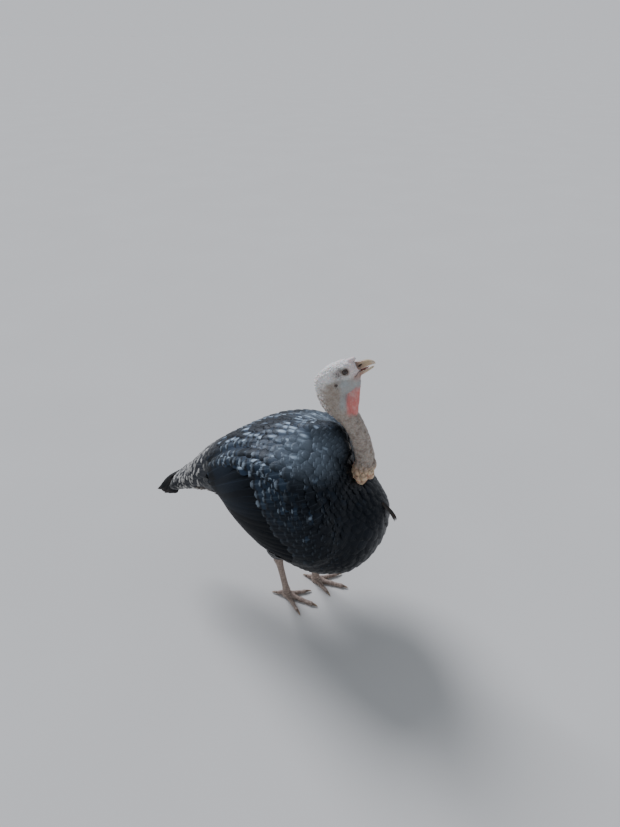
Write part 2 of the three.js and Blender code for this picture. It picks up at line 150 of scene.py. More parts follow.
def gradient(form: Field, points: Array, step: float = 0.5) -> Array:
    """Slope of a field, from the difference across a small step on each axis.

    Args:
        form: the field.
        points: where it is wanted.
        step: half the distance between the two values.

    Returns:
        The slope at each point.
    """
    parts = []
    for axis in range(3):
        shift = np.zeros(3)
        shift[axis] = step
        parts.append((form(points + shift) - form(points - shift)) / (2 * step))
    return np.stack(parts, axis=-1)


def settle(form: Field, points: Array, depth: Array, rounds: int = 5) -> Array:
    """Moves points along a field's slope until each lies at its depth from the field's surface.

    Each round is a Newton step: (depth times slope, less value) over slope squared, along the slope.

    Args:
        form: a field that is zero on the surface and grows outwards.
        points: where the points start.
        depth: distance outside the surface, negative inside.
        rounds: number of steps.

    Returns:
        The moved points.
    """
    for _ in range(rounds):
        slope = gradient(form, points)
        size = np.maximum(np.linalg.norm(slope, axis=-1), 0.25)
        move = (depth * size - form(points)) / size**2
        points = points + np.clip(move, -12, 12)[..., None] * slope
    return points


@dataclass(frozen=True)
class Shape:
    """A mesh as arrays: points, four-cornered faces and three-cornered faces."""

    points: Array
    quads: Array = field(default_factory=lambda: np.zeros((0, 4), int))
    tris: Array = field(default_factory=lambda: np.zeros((0, 3), int))

    def moved(self, matrix: Array, offset: Array) -> Shape:
        """The shape turned by a matrix and then moved."""
        return Shape(self.points @ matrix.T + offset, self.quads, self.tris)

    def above(self, level: float) -> Shape:
        """The shape with what was lower raised to a level."""
        points = self.points.copy()
        points[:, 2] = np.maximum(points[:, 2], level)
        return Shape(points, self.quads, self.tris)


def together(shapes: Sequence[Shape]) -> Shape:
    """Several shapes as one, with their points counted on.

    Args:
        shapes: the shapes.

    Returns:
        The one shape.
    """
    starts = np.cumsum([0] + [len(s.points) for s in shapes[:-1]])
    return Shape(
        np.concatenate([s.points for s in shapes]),
        np.concatenate([s.quads + n for s, n in zip(shapes, starts)]),
        np.concatenate([s.tris + n for s, n in zip(shapes, starts)]),
    )


def tube_quads(rings: int, sides: int) -> Array:
    """The faces between the rings of a tube, whose points are counted ring by ring."""
    ring, i = np.meshgrid(np.arange(rings - 1), np.arange(sides), indexing="ij")
    a, b = ring * sides + i, ring * sides + (i + 1) % sides
    return np.stack([a, b, b + sides, a + sides], -1).reshape(-1, 4)


def capped(first: Sequence[float], rings: Array, final: Sequence[float]) -> Shape:
    """A closed solid of rings between two poles, with a fan of triangles round each pole.

    Args:
        first: the pole before the first ring.
        rings: points of the rings, as rings by points by coordinates.
        final: the pole after the last ring.

    Returns:
        The solid.
    """
    count, sides = rings.shape[:2]
    points = np.concatenate([[first], rings.reshape(-1, 3), [final]])
    i = np.arange(sides)
    onward = (i + 1) % sides
    end = 1 + (count - 1) * sides
    nose = np.stack([np.zeros(sides, int), 1 + onward, 1 + i], -1)
    tail = np.stack([np.full(sides, len(points) - 1), end + i, end + onward], -1)
    return Shape(points, 1 + tube_quads(count, sides), np.concatenate([nose, tail]))


def loft(
    rows: Rows,
    sides: int = 24,
    steps: int = 4,
    power: float = 2.0,
    side: Sequence[float] = (0, 1, 0),
    upright: bool = False,
) -> Shape:
    """A closed solid carried along a path, with a pole at each end.

    A point of a ring is the path's point, plus the half width times the cosine along the side
    direction, plus the reach above or below times the sine along the upward one, with both bent
    to a superellipse.

    Args:
        rows: x, y, z of the path, half width, reach above and reach below; the ends are the poles.
        sides: points round a ring.
        steps: rings to each row.
        power: power of the superellipse.
        side: direction of the half width.
        upright: whether the rings stand upright rather than square to the path.

    Returns:
        The solid, facing outwards.
    """
    table = np.column_stack([np.arange(len(rows)), np.asarray(rows, float)])
    last = len(rows) - 1
    t = np.arange(1, last * steps) / steps
    value = smooth_table(table, t)
    ahead = smooth_table(table, np.minimum(t + 0.05, last))[:, :3]
    behind = smooth_table(table, np.maximum(t - 0.05, 0))[:, :3]
    along = unit(ahead - behind)
    across = np.broadcast_to(np.asarray(side, float), along.shape)
    left = across if upright else onto(along, across)
    up = np.broadcast_to([0.0, 0.0, 1.0], along.shape) if upright else np.cross(along, left)
    turns = np.arange(sides) / sides * 2 * np.pi
    c, s = bent(np.cos(turns), power), bent(np.sin(turns), power)
    reach = np.where(s > 0, value[:, 4:5], value[:, 5:6]) * s
    rings = (
        value[:, None, :3]
        + (value[:, 3:4] * c)[..., None] * left[:, None]
        + reach[..., None] * up[:, None]
    )
    return capped(rows[0][:3], rings, rows[-1][:3])


def ball(sides: int) -> Shape:
    """A ball of radius one round the origin, as a loft of circles along z."""
    angles = np.linspace(-math.pi / 2, math.pi / 2, sides // 2 + 1)
    return loft([[0.0, 0.0, math.sin(a), *[math.cos(a)] * 3] for a in angles], sides, 1)


def raw_object(name: str, shape: Shape) -> bpy.types.Object:
    """A smooth-shaded mesh object of a shape, as its numbers stand.

    Args:
        name: the object's name.
        shape: the shape.

    Returns:
        The object, linked to the scene.
    """
    mesh = bpy.data.meshes.new(name)
    mesh.vertices.add(len(shape.points))
    mesh.vertices.foreach_set("co", shape.points.astype(np.float32).ravel())
    corners = np.concatenate([shape.quads.ravel(), shape.tris.ravel()]).astype(np.int32)
    quad_starts = np.arange(len(shape.quads)) * 4
    tri_starts = len(shape.quads) * 4 + np.arange(len(shape.tris)) * 3
    mesh.loops.add(len(corners))
    mesh.loops.foreach_set("vertex_index", corners)
    mesh.polygons.add(len(shape.quads) + len(shape.tris))
    mesh.polygons.foreach_set("loop_start", np.concatenate([quad_starts, tri_starts]).astype(np.int32))
    mesh.update(calc_edges=True)
    mesh.shade_smooth()
    piece = bpy.data.objects.new(name, mesh)
    bpy.context.scene.collection.objects.link(piece)
    return piece


def evaluated(source: bpy.types.Object) -> Shape:
    """The shape of an object with its modifiers applied; the object itself is removed.

    Args:
        source: the object.

    Returns:
        The shape, as triangles.
    """
    view = bpy.context.evaluated_depsgraph_get()
    mesh = bpy.data.meshes.new_from_object(source.evaluated_get(view))
    mesh.calc_loop_triangles()
    points = np.empty(len(mesh.vertices) * 3, np.float32)
    mesh.vertices.foreach_get("co", points)
    tris = np.empty(len(mesh.loop_triangles) * 3, np.int32)
    mesh.loop_triangles.foreach_get("vertices", tris)
    bpy.data.meshes.remove(mesh)
    bpy.data.objects.remove(source)
    return Shape(points.reshape(-1, 3).astype(float), tris=tris.reshape(-1, 3).astype(int))


def fused(shapes: Sequence[Shape], voxel: float, rounds: int) -> Shape:
    """Closed shapes melted into one closed skin by a voxel remesh, then smoothed.

    Each round of smoothing moves a point half way to the mean of its neighbours.

    Args:
        shapes: the closed shapes.
        voxel: size of the remesh's cells.
        rounds: rounds of smoothing.

    Returns:
        The skin as triangles.
    """
    source = raw_object("melt", together(shapes))
    remesh = source.modifiers.new("melt", "REMESH")
    remesh.mode = "VOXEL"
    remesh.voxel_size = voxel
    shape = evaluated(source)
    ends = np.concatenate([shape.tris[:, [0, 1]], shape.tris[:, [1, 2]], shape.tris[:, [2, 0]]])
    degree = np.bincount(ends[:, 0], minlength=len(shape.points))[:, None]
    points = shape.points
    for _ in range(rounds):
        mean = [
            np.bincount(ends[:, 0], points[ends[:, 1], axis], len(points)) for axis in range(3)
        ]
        points = mix(points, np.stack(mean, -1) / degree, 0.5)
    return Shape(points, tris=shape.tris)


def united(base: Shape, others: Sequence[Shape]) -> Shape:
    """One closed solid of overlapping closed solids, by a boolean union.

    Args:
        base: the first solid.
        others: the solids that are added to it.

    Returns:
        The union, as triangles.
    """
    target = raw_object("union", base)
    tools = [raw_object("part", other) for other in others]
    for tool in tools:
        cut = target.modifiers.new("union", "BOOLEAN")
        cut.operation = "UNION"
        cut.solver = "MANIFOLD"
        cut.object = tool
    shape = evaluated(target)
    for tool in tools:
        bpy.data.objects.remove(tool)
    return shape


def point_normals(shape: Shape) -> Array:
    """Outward directions at the points: the sum of the normals of the triangles round each.

    Args:
        shape: a shape with triangles only.

    Returns:
        One direction for each point, of length one.
    """
    a, b, c = (shape.points[shape.tris[:, k]] for k in range(3))
    faces = np.cross(b - a, c - a)
    total = np.zeros_like(shape.points)
    for corner in range(3):
        for axis in range(3):
            total[:, axis] += np.bincount(shape.tris[:, corner], faces[:, axis], len(total))
    return unit(total)


# ---------------------------------------------------------------- materials
def linear(colour: str) -> tuple[float, float, float, float]:
    """An sRGB hex colour as linear red, green, blue and 1."""
    parts = [int(colour[i : i + 2], 16) / 255 for i in (1, 3, 5)]
    return (*[p / 12.92 if p <= 0.04045 else ((p + 0.055) / 1.055) ** 2.4 for p in parts], 1.0)


def add_node(
    tree: bpy.types.NodeTree,
    kind: str,
    inputs: Sequence[object] | dict[str | int, object] = (),
    output: str | int = 0,
    **settings: object,
) -> bpy.types.NodeSocket | None:
    """Adds a node with its settings, and fills its inputs with numbers, hex colours or links.

    Args:
        tree: the tree.
        kind: the node's type, without "ShaderNode".
        inputs: numbers, colours or output sockets to link, in order or by the socket's name or number.
        output: the output that is wanted.
        settings: the node's own properties.

    Returns:
        That output, or None where the node has none.
    """
    node = tree.nodes.new("ShaderNode" + kind)
    for key, value in settings.items():
        setattr(node, key, value)
    for key, value in (inputs if isinstance(inputs, dict) else dict(enumerate(inputs))).items():
        socket = node.inputs[key]
        if isinstance(value, bpy.types.NodeSocket):
            tree.links.new(value, socket)
        else:
            socket.default_value = linear(value) if isinstance(value, str) else value
    return node.outputs[output] if len(node.outputs) else None


# Settings of the nodes that are used most. The inputs of a layer of colour are 0 for its share, 6 for
# the colour below it and 7 for its own.
EASED = {"interpolation_type": "SMOOTHSTEP"}
LAYER = {"output": 2, "data_type": "RGBA"}
TIMES = {"operation": "MULTIPLY"}
TIMES_PLUS = {"operation": "MULTIPLY_ADD"}
MOST = {"operation": "MAXIMUM"}
MESH_VALUE = {"output": "Fac"}


@dataclass(frozen=True)
class Surface:
    """A finish: one node material, whose shader inputs each kind of surface works out for itself."""

    name: str

    def inputs(self, add: AddNode) -> dict[str, object]:
        """The inputs of the surface's shader.

        Args:
            add: adds a node to the material, as add_node() does.

        Returns:
            Numbers, colours or links, by the names of the shader's sockets.
        """
        raise NotImplementedError

    def make(self) -> bpy.types.Material:
        """Builds the node material.

        Returns:
            The material.
        """
        material = bpy.data.materials.new(self.name)
        material.use_nodes = True
        tree = material.node_tree
        tree.nodes.clear()
        shader = add_node(tree, "BsdfPrincipled", self.inputs(partial(add_node, tree)))
        add_node(tree, "OutputMaterial", [shader])
        return material


@dataclass(frozen=True)
class Plumage(Surface):
    """Contour feathers of a black turkey: keratin barbs laid side by side, glossy where they lie flat.

    The barbs give the eye a fine slanting grain with a painted steel-blue sheen on the broad part of each
    vane, a matt black band near the tip and a frayed fringe, which with a streak along the crest is painted
    as pale glints where the mesh's value "tint" is high and stays dark where it is low.
    """

    base: str = "#06080b"
    # colour of the painted sheen on vanes that shine
    gloss: str = "#0f1720"
    band: str = "#040507"
    # colour of the fringe, and of the painted glints on it and along the crest
    fringe_and_glint: str = "#10151b"
    fringe_start: float = 0.86  # share of the way to the vane's rim where the fringe begins
    fringe_share: float = 1.0
    even_fringe: float = 0.0  # how much of the fringe and its painted glint shows whatever the value tint
    sides: float = 1.0  # how far the fringe runs down the vane's sides
    streak: float = 0.0  # painted highlight along the crest of the vane
    shaft: float = 0.06  # how much the shaft takes the fringe's colour
    fray: float = 0.16  # how ragged the fringe's inner edge is
    painted_sheen: str = "#65707b"  # painted grey sheen of the shoulders, where the mesh's value "painted_sheen" is high
    specular: float = 0.3  # the barbs trap much of the light that a smooth face would throw back
    cast: str = "#c2d4ee"  # the gloss is faintly blue
    roughness: float = 0.42
    coat: float = 0.15
    barbs: float = 46.0  # grooves along a vane, drawn coarser than the real half millimetre

    def inputs(self, add: AddNode) -> dict[str, object]:
        """Fringe, painted crest highlight, band, shaft and painted grey sheen, laid over the base by the
        place on the vane.

        The mottling that frays the fringe is 13 mm broad.
        """
        vane = add("UVMap", uv_map="Vane")
        sideways, along = (add("SeparateXYZ", [vane], axis) for axis in (0, 1))
        across = add("Math", [add("Math", [sideways, 2.0, -1.0], **TIMES_PLUS)], operation="ABSOLUTE")
        tint, worn = (add("Attribute", attribute_name=key, **MESH_VALUE) for key in ("tint", "painted_sheen"))
        coords = add("TexCoord", output="Object")
        mottle = add("TexNoise", {"Vector": coords, "Scale": 75.0, "Detail": 3.0})
        slanted = add("Math", [across, -0.22, along], **TIMES_PLUS)
        wave = add("Math", [add("Math", [slanted, self.barbs * 2 * math.pi], **TIMES)], operation="SINE")
        frayed = add("Math", [mottle, self.fray, -self.fray / 2], **TIMES_PLUS)
        aside = add("Math", [across, self.sides, self.sides * 0.1 - 0.1], **TIMES_PLUS)
        tip = add("Math", [add("Math", [across, across], **TIMES), -0.1, along], **TIMES_PLUS)
        rim = add("Math", [add("Math", [aside, tip], **MOST), frayed], operation="ADD")
        edge = add("MapRange", [rim, self.fringe_start, 0.99, 0.0, self.fringe_share], **EASED)
        edge = add("Math", [edge, add("MapRange", [along, 0.4, 0.7], **EASED)], **TIMES)
        crest = add("MapRange", [across, 0.36, 0.04], **EASED)
        crest = add("Math", [crest, add("MapRange", [along, 0.4, 0.74], **EASED)], **TIMES)
        streak = add("MapRange", [along, 1.0, 0.86, 0.0, self.streak], **EASED)
        crest = add("Math", [crest, streak], **TIMES)
        # painted glints: fringe and crest light up where the value tint is high
        glint = add("Math", [mottle, 0.6, tint], **TIMES_PLUS)
        glint = add("MapRange", [glint, 0.62, 1.2, self.even_fringe, 1.0], **EASED)
        edge = add("Math", [edge, add("Math", [glint, worn], **MOST)], **TIMES)
        fringe_and_glint = add("Math", [edge, add("Math", [crest, glint], **TIMES)], **MOST)
        # painted sheen: the gloss colour on the broad part of vanes that shine
        sheen = add("MapRange", [along, 0.15, 0.6], **EASED)
        sheen = add("Math", [sheen, add("MapRange", [along, 0.9, 0.8], **EASED)], **TIMES)
        sheen = add("Math", [sheen, add("MapRange", [tint, 0.1, 0.6], **EASED)], **TIMES)
        shaft = add("MapRange", [across, 0.07, 0.02], **EASED)
        colour = add("Mix", {0: sheen, 6: self.base, 7: self.gloss}, **LAYER)
        band = add("MapRange", [along, 0.82, 0.92], **EASED)
        colour = add("Mix", {0: band, 6: colour, 7: self.band}, **LAYER)
        on_shaft = add("Math", [shaft, self.shaft], **TIMES)
        colour = add("Mix", {0: on_shaft, 6: colour, 7: self.fringe_and_glint}, **LAYER)
        # painted light: vanes that shine are brightened, the others darkened
        shade = add("MapRange", [tint, 0.0, 1.0, 0.65, 1.9], **EASED)
        shade = add("Math", [shade, add("MapRange", [wave, -1.0, 1.0, 0.84, 1.1], **EASED)], **TIMES)
        grey = add("CombineColor", [shade, shade, shade])
        colour = add("Mix", {0: 1.0, 6: colour, 7: grey}, blend_type="MULTIPLY", **LAYER)
        # painted grey sheen on the shoulders
        painted_sheen = add("Math", [worn, add("MapRange", [rim, 0.3, 0.95, 0.6, 1.0], **EASED)], **TIMES)
        colour = add("Mix", {0: painted_sheen, 6: colour, 7: self.painted_sheen}, **LAYER)
        colour = add("Mix", {0: fringe_and_glint, 6: colour, 7: self.fringe_and_glint}, **LAYER)
        height = add("Math", [wave, 0.3, add("Math", [shaft, 2.0], **TIMES)], **TIMES_PLUS)
        return {
            "Base Color": colour,
            "Roughness": add("MapRange", [fringe_and_glint, 0.0, 1.0, self.roughness, 0.55], **EASED),
            "Specular IOR Level": self.specular,
            "Specular Tint": self.cast,
            "Coat Weight": self.coat,
            "Coat Roughness": 0.2,
            "Normal": add("Bump", {"Strength": 0.35, "Distance": 0.0004, "Height": height}),
        }


@dataclass(frozen=True)
class Horn(Surface):
    """Keratin horn, grown in layers: waxy, a little clear at the edges, with fine lengthwise grain."""

    root: str
    tip: str
    edge: str
    roughness: float = 0.34
    # painted shade of the nostril pit
    hollow: str = "#241712"
    stain: str = "#5b4636"

    def inputs(self, add: AddNode) -> dict[str, object]:
        """Colour from root to tip by the value "along", paler by "rim", and dull with painted shade in a
        "pit".

        The grain is 1 mm across and 4 mm along, coarser than the real one so that it shows.
        """
        names = ("along", "rim", "pit")
        along, rim, pit = (add("Attribute", attribute_name=name, **MESH_VALUE) for name in names)
        stretched = add("Mapping", {0: add("TexCoord", output="Object"), "Scale": (260.0, 900.0, 900.0)})
        grain = add("TexNoise", {"Vector": stretched, "Scale": 1.0, "Detail": 4.0})
        grown = add("MapRange", [along, 0.1, 0.95], **EASED)
        colour = add("Mix", {0: grown, 6: self.root, 7: self.tip}, **LAYER)
        colour = add("Mix", {0: rim, 6: colour, 7: self.edge}, **LAYER)
        colour = add("Mix", {0: pit, 6: colour, 7: self.hollow}, **LAYER)
        stain = add("MapRange", [grain, 0.35, 0.75, 0.0, 0.35], **EASED)
        return {
            "Base Color": add("Mix", {0: stain, 6: colour, 7: self.stain}, **LAYER),
            "Roughness": add("MapRange", [pit, 0.0, 1.0, self.roughness, 0.9], **EASED),
            "IOR": 1.54,
            "Subsurface Weight": 0.1,
            "Subsurface Scale": 0.002,
            "Normal": add("Bump", {"Strength": 0.25, "Distance": 0.0003, "Height": grain}),
        }


@dataclass(frozen=True)
class BareSkin(Surface):
    """Living bare skin of head and neck: soft, lumpy and matt, with pores and a little light through it.

    Named values of the mesh say where the pale crown, the blue-grey cheek, the pink throat flap, the
    creamy beads, the skin's own dark patches and the painted shade of creases and hollows are.
    """

    name: str = "bare_living_skin"
    neck: str = "#94877b"
    neck_light: str = "#aaa093"
    crown: str = "#e6ecee"
    cheek: str = "#a9b6ba"
    flap: str = "#da817b"
    flap_light: str = "#e6a39b"
    bead: str = "#dcc09d"
    bead_blush: str = "#cf9f86"
    blotch: str = "#b8988c"
    # painted shade of creases and hollows, and the skin's own dark patches
    shade_and_dark_skin: str = "#4e3a33"
    bump_tops: str = "#f0e8e4"

    def inputs(self, add: AddNode) -> dict[str, object]:
        """Neck, cheek, crown, beads, flap, blotches, and painted shade with dark skin, each laid over the
        ones before.

        The pores stand 1.4 mm apart, and the blotches are 2.4 mm and 11 mm broad.
        """
        coords = add("TexCoord", output="Object")
        fine = add("TexNoise", {"Vector": coords, "Scale": 420.0, "Detail": 5.0})
        broad = add("TexNoise", {"Vector": coords, "Scale": 90.0, "Detail": 3.0})
        pores = add("TexVoronoi", {"Vector": coords, "Scale": 700.0})
        names = ("cheek", "crown", "bead", "raised", "flap", "shade_and_dark_skin")
        cheek, crown, bead, raised, flap, shade_and_dark_skin = (
            add("Attribute", attribute_name=name, **MESH_VALUE) for name in names
        )
        pale = add("MapRange", [broad, 0.3, 0.7, 0.0, 0.6], **EASED)
        blush = add("MapRange", [broad, 0.45, 0.7], **EASED)
        light = add("MapRange", [broad, 0.42, 0.7], **EASED)
        colour = add("Mix", {0: pale, 6: self.neck, 7: self.neck_light}, **LAYER)
        for share, tone in (
            (cheek, self.cheek),
            (crown, self.crown),
            (bead, add("Mix", {0: blush, 6: self.bead, 7: self.bead_blush}, **LAYER)),
            (add("Math", [raised, 0.85], **TIMES), self.bump_tops),
            (flap, add("Mix", {0: light, 6: self.flap, 7: self.flap_light}, **LAYER)),
            (add("MapRange", [fine, 0.48, 0.78, 0.0, 0.35], **EASED), self.blotch),
            # painted shade and dark skin
            (add("Math", [shade_and_dark_skin, 0.8], **TIMES), self.shade_and_dark_skin),
        ):
            colour = add("Mix", {0: share, 6: colour, 7: tone}, **LAYER)
        height = add("Math", [pores, 0.6, fine], **TIMES_PLUS)
        return {
            "Base Color": colour,
            "Roughness": add("MapRange", [fine, 0.3, 0.8, 0.42, 0.62], **EASED),
            "IOR": 1.42,
            "Subsurface Weight": 0.18,
            "Subsurface Radius": (1.0, 0.4, 0.25),
            "Subsurface Scale": 0.003,
            "Normal": add("Bump", {"Strength": 0.5, "Distance": 0.0006, "Height": height}),
        }


@dataclass(frozen=True)
class LegScale(Surface):
    """Horny leg scales: hard flat plates 3 mm across, with dusty edges and dark gaps over pinkish skin."""

    name: str = "horny_leg_scales"
    plate: str = "#a08a7e"
    gap: str = "#5d4a44"
    worn: str = "#c9b6a6"

    def inputs(self, add: AddNode) -> dict[str, object]:
        """Plates from the distance to a cell's edge, and the broad grooves that the mesh's values give.

        The wear is 6 mm broad.
        """
        coords = add("TexCoord", output="Object")
        plates = {"Vector": coords, "Scale": 330.0, "Randomness": 0.75}
        cells = add("TexVoronoi", plates, feature="DISTANCE_TO_EDGE")
        noise = add("TexNoise", {"Vector": coords, "Scale": 160.0, "Detail": 5.0})
        groove = add("Attribute", attribute_name="groove", **MESH_VALUE)
        gap = add("Math", [add("MapRange", [cells, 0.09, 0.0], **EASED), groove], **MOST)
        worn = add("MapRange", [noise, 0.35, 0.7], **EASED)
        colour = add("Mix", {0: worn, 6: self.plate, 7: self.worn}, **LAYER)
        colour = add("Mix", {0: add("Math", [gap, 0.75], **TIMES), 6: colour, 7: self.gap}, **LAYER)
        height = add("Math", [add("MapRange", [cells, 0.0, 0.16], **EASED), 1.0, noise], **TIMES_PLUS)
        return {
            "Base Color": colour,
            "Roughness": add("MapRange", [noise, 0.3, 0.7, 0.4, 0.6], **EASED),
            "IOR": 1.52,
            "Normal": add("Bump", {"Strength": 0.6, "Distance": 0.0005, "Height": height}),
        }


@dataclass(frozen=True)
class Eyeball(Surface):
    """A wet eye: clear cornea over a dark brown iris and a black pupil."""

    name: str = "wet_eye"
    iris: str = "#2b170c"
    iris_light: str = "#4d2d17"
    pupil: str = "#020202"
    rim: str = "#160d08"

    def inputs(self, add: AddNode) -> dict[str, object]:
        """Iris with streaks of 0.7 mm, pupil and dark rim, by the distance from the eye's axis."""
        ring = add("Attribute", attribute_name="ring", **MESH_VALUE)
        coords = add("TexCoord", output="Object")
        streaks = add("TexNoise", {"Vector": coords, "Scale": 1400.0, "Detail": 4.0})
        streaked = add("MapRange", [streaks, 0.35, 0.7], **EASED)
        colour = add("Mix", {0: streaked, 6: self.iris, 7: self.iris_light}, **LAYER)
        for start, end, tone in ((0.36, 0.31, self.pupil), (0.62, 0.72, self.rim)):
            within = add("MapRange", [ring, start, end], **EASED)
            colour = add("Mix", {0: within, 6: colour, 7: tone}, **LAYER)
        return {
            "Base Color": colour,
            "Roughness": 0.08,
            "IOR": 1.38,
            "Coat Weight": 1.0,
            "Coat Roughness": 0.02,
        }


@dataclass(frozen=True)
class Down(Surface):
    """Skin and down under the feathers: soft charcoal fluff that only shows in the gaps."""

    name: str = "charcoal_down"
    dark: str = "#0c0c0e"
    pale: str = "#1c1c20"

    def inputs(self, add: AddNode) -> dict[str, object]:
        """Soft mottling 3 mm broad, with a faint sheen."""
        fluff = add("TexNoise", {"Vector": add("TexCoord", output="Object"), "Scale": 300.0, "Detail": 6.0})
        share = add("MapRange", [fluff, 0.3, 0.7], **EASED)
        return {
            "Base Color": add("Mix", {0: share, 6: self.dark, 7: self.pale}, **LAYER),
            "Roughness": 0.85,
            "Sheen Weight": 0.2,
            "Normal": add("Bump", {"Strength": 0.6, "Distance": 0.001, "Height": fluff}),
        }


@dataclass(frozen=True)
class StudioFloor(Surface):
    """Pale painted studio floor: matt, with barely visible cloudiness."""

    name: str = "pale_studio_floor"
    tone: str = "#d4d2cf"
    cloud: str = "#d6d4d1"

    def inputs(self, add: AddNode) -> dict[str, object]:
        """Two close tones in clouds half a metre broad."""
        clouds = add("TexNoise", {"Vector": add("TexCoord", output="Object"), "Scale": 2.0, "Detail": 2.0})
        share = add("MapRange", [clouds, 0.3, 0.7], **EASED)
        colour = add("Mix", {0: share, 6: self.tone, 7: self.cloud}, **LAYER)
        return {"Base Color": colour, "Roughness": 0.9, "Specular IOR Level": 0.0}


class Finish(Enum):
    """Every finish of the bird and its floor."""

    BLACK = Plumage("jet_contour_feathers", gloss="#0c131b", coat=0.06, specular=0.25)
    # the pale fringe and crest streak are painted highlights where the feathers shine
    BACK = Plumage(
        "steel_glossed_back_feathers",
        gloss="#182534",
        fringe_and_glint="#b4c6d8",
        fringe_start=0.9,
        fringe_share=0.25,
        sides=0.6,
        streak=1.0,
        roughness=0.5,
        coat=0.04,
        specular=0.26,
    )
    # steel-grey edges, faint everywhere and pale as painted glints where the feathers shine
    COVERT = Plumage(
        "steel_edged_wing_coverts",
        gloss="#17222e",
        fringe_and_glint="#8b99a6",
        fringe_start=0.86,
        fringe_share=0.75,
        sides=0.6,
        even_fringe=0.14,
        streak=0.08,
        roughness=0.5,
        coat=0.04,
        specular=0.26,
    )
    WING = Plumage(
        "folded_flight_feathers",
        base="#06080a",
        gloss="#0d141c",
        fringe_and_glint="#1f2832",
        fringe_start=0.93,
        even_fringe=0.6,
        shaft=0.4,
        roughness=0.55,
        coat=0.0,
        specular=0.15,
    )
    LACED = Plumage(
        "pale_laced_tail_coverts",
        base="#0d0d0f",
        gloss="#15161a",
        band="#0b0b0d",
        fringe_and_glint="#b9b6b1",
        fringe_start=0.86,
        even_fringe=0.15,
        sides=0.75,
        fray=0.34,
        roughness=0.5,
    )
    TAIL = Plumage(
        "brown_black_tail_feathers",
        base="#0a0807",
        gloss="#0e0c0b",
        fringe_and_glint="#221b18",
        even_fringe=1.0,
        roughness=0.6,
        coat=0.0,
        specular=0.14,
    )
    FLUFF = Plumage(
        "downy_vent_fluff",
        base="#2a2725",
        gloss="#3a3633",
        band="#5a544e",
        fringe_and_glint="#9a9189",
        fringe_start=0.7,
        even_fringe=0.5,
        roughness=0.8,
        coat=0.0,
    )
    BRISTLE = Horn("black_bristle", "#0a0a0b", "#141416", "#17181b", 0.4)
    SKIN = BareSkin()
    SCALE = LegScale()
    BILL = Horn("waxy_bill_horn", "#96796b", "#cdb391", "#e6dccb")
    LOWER_BILL = Horn("pale_lower_bill_horn", "#b78a7c", "#dcc7ac", "#eadfce")
    CLAW = Horn("claw_horn", "#6d5a4c", "#a58f78", "#b9a68f")
    MOUTH = Horn("wet_mouth_lining", "#5a2a2a", "#9c5a55", "#6f3534", 0.25)
    EYE = Eyeball()
    DOWN = Down()
    FLOOR = StudioFloor()


class Workshop:
    """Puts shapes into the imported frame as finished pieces."""

    def __init__(self) -> None:
        """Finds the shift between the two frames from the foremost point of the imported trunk."""
        self.shift = np.array([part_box("trunk")[1].x - BREAST_X * MM, 0.0, 0.0])
        self.made: dict[Finish, bpy.types.Material] = {}

    def material(self, finish: Finish) -> bpy.types.Material:
        """The finish's material, made when it is first asked for."""
        if finish not in self.made:
            self.made[finish] = finish.value.make()
        return self.made[finish]

    def mesh(
        self,
        name: str,
        shape: Shape,
        maps: dict[str, Array] | None = None,
        values: dict[str, Array] | None = None,
    ) -> bpy.types.Object:
        """Writes a shape as a smooth-shaded mesh object at the origin.

        Args:
            name: the piece's name.
            shape: the shape in the bird's own frame.
            maps: UV maps as one pair for each point.
            values: named values for each point.

        Returns:
            The object, linked to the scene.
        """
        piece = raw_object(name, Shape(shape.points * MM + self.shift, shape.quads, shape.tris))
        mesh = piece.data
        corners = np.concatenate([shape.quads.ravel(), shape.tris.ravel()]).astype(np.int32)
        for key, pairs in (maps or {}).items():
            layer = mesh.uv_layers.new(name=key)
            layer.data.foreach_set("uv", pairs[corners].astype(np.float32).ravel())
        for key, numbers in (values or {}).items():
            layer = mesh.attributes.new(key, "FLOAT", "POINT")
            layer.data.foreach_set("value", numbers.astype(np.float32))
        return piece

    def finished(self, piece: bpy.types.Object, finish: Finish, slot: str, *nodes: str) -> None:
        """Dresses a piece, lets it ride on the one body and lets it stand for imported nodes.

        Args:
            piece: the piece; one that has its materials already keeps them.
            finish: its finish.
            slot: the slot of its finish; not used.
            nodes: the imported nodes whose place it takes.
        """
        if not piece.data.materials:
            piece.data.materials.append(self.material(finish))
        piece.data.set_sharp_from_angle(angle=SHARP_FROM)
        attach(piece, "root")
        if nodes:
            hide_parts(*nodes)
        piece.data.calc_loop_triangles()
        log.info("%s: %d triangles", piece.name, len(piece.data.loop_triangles))


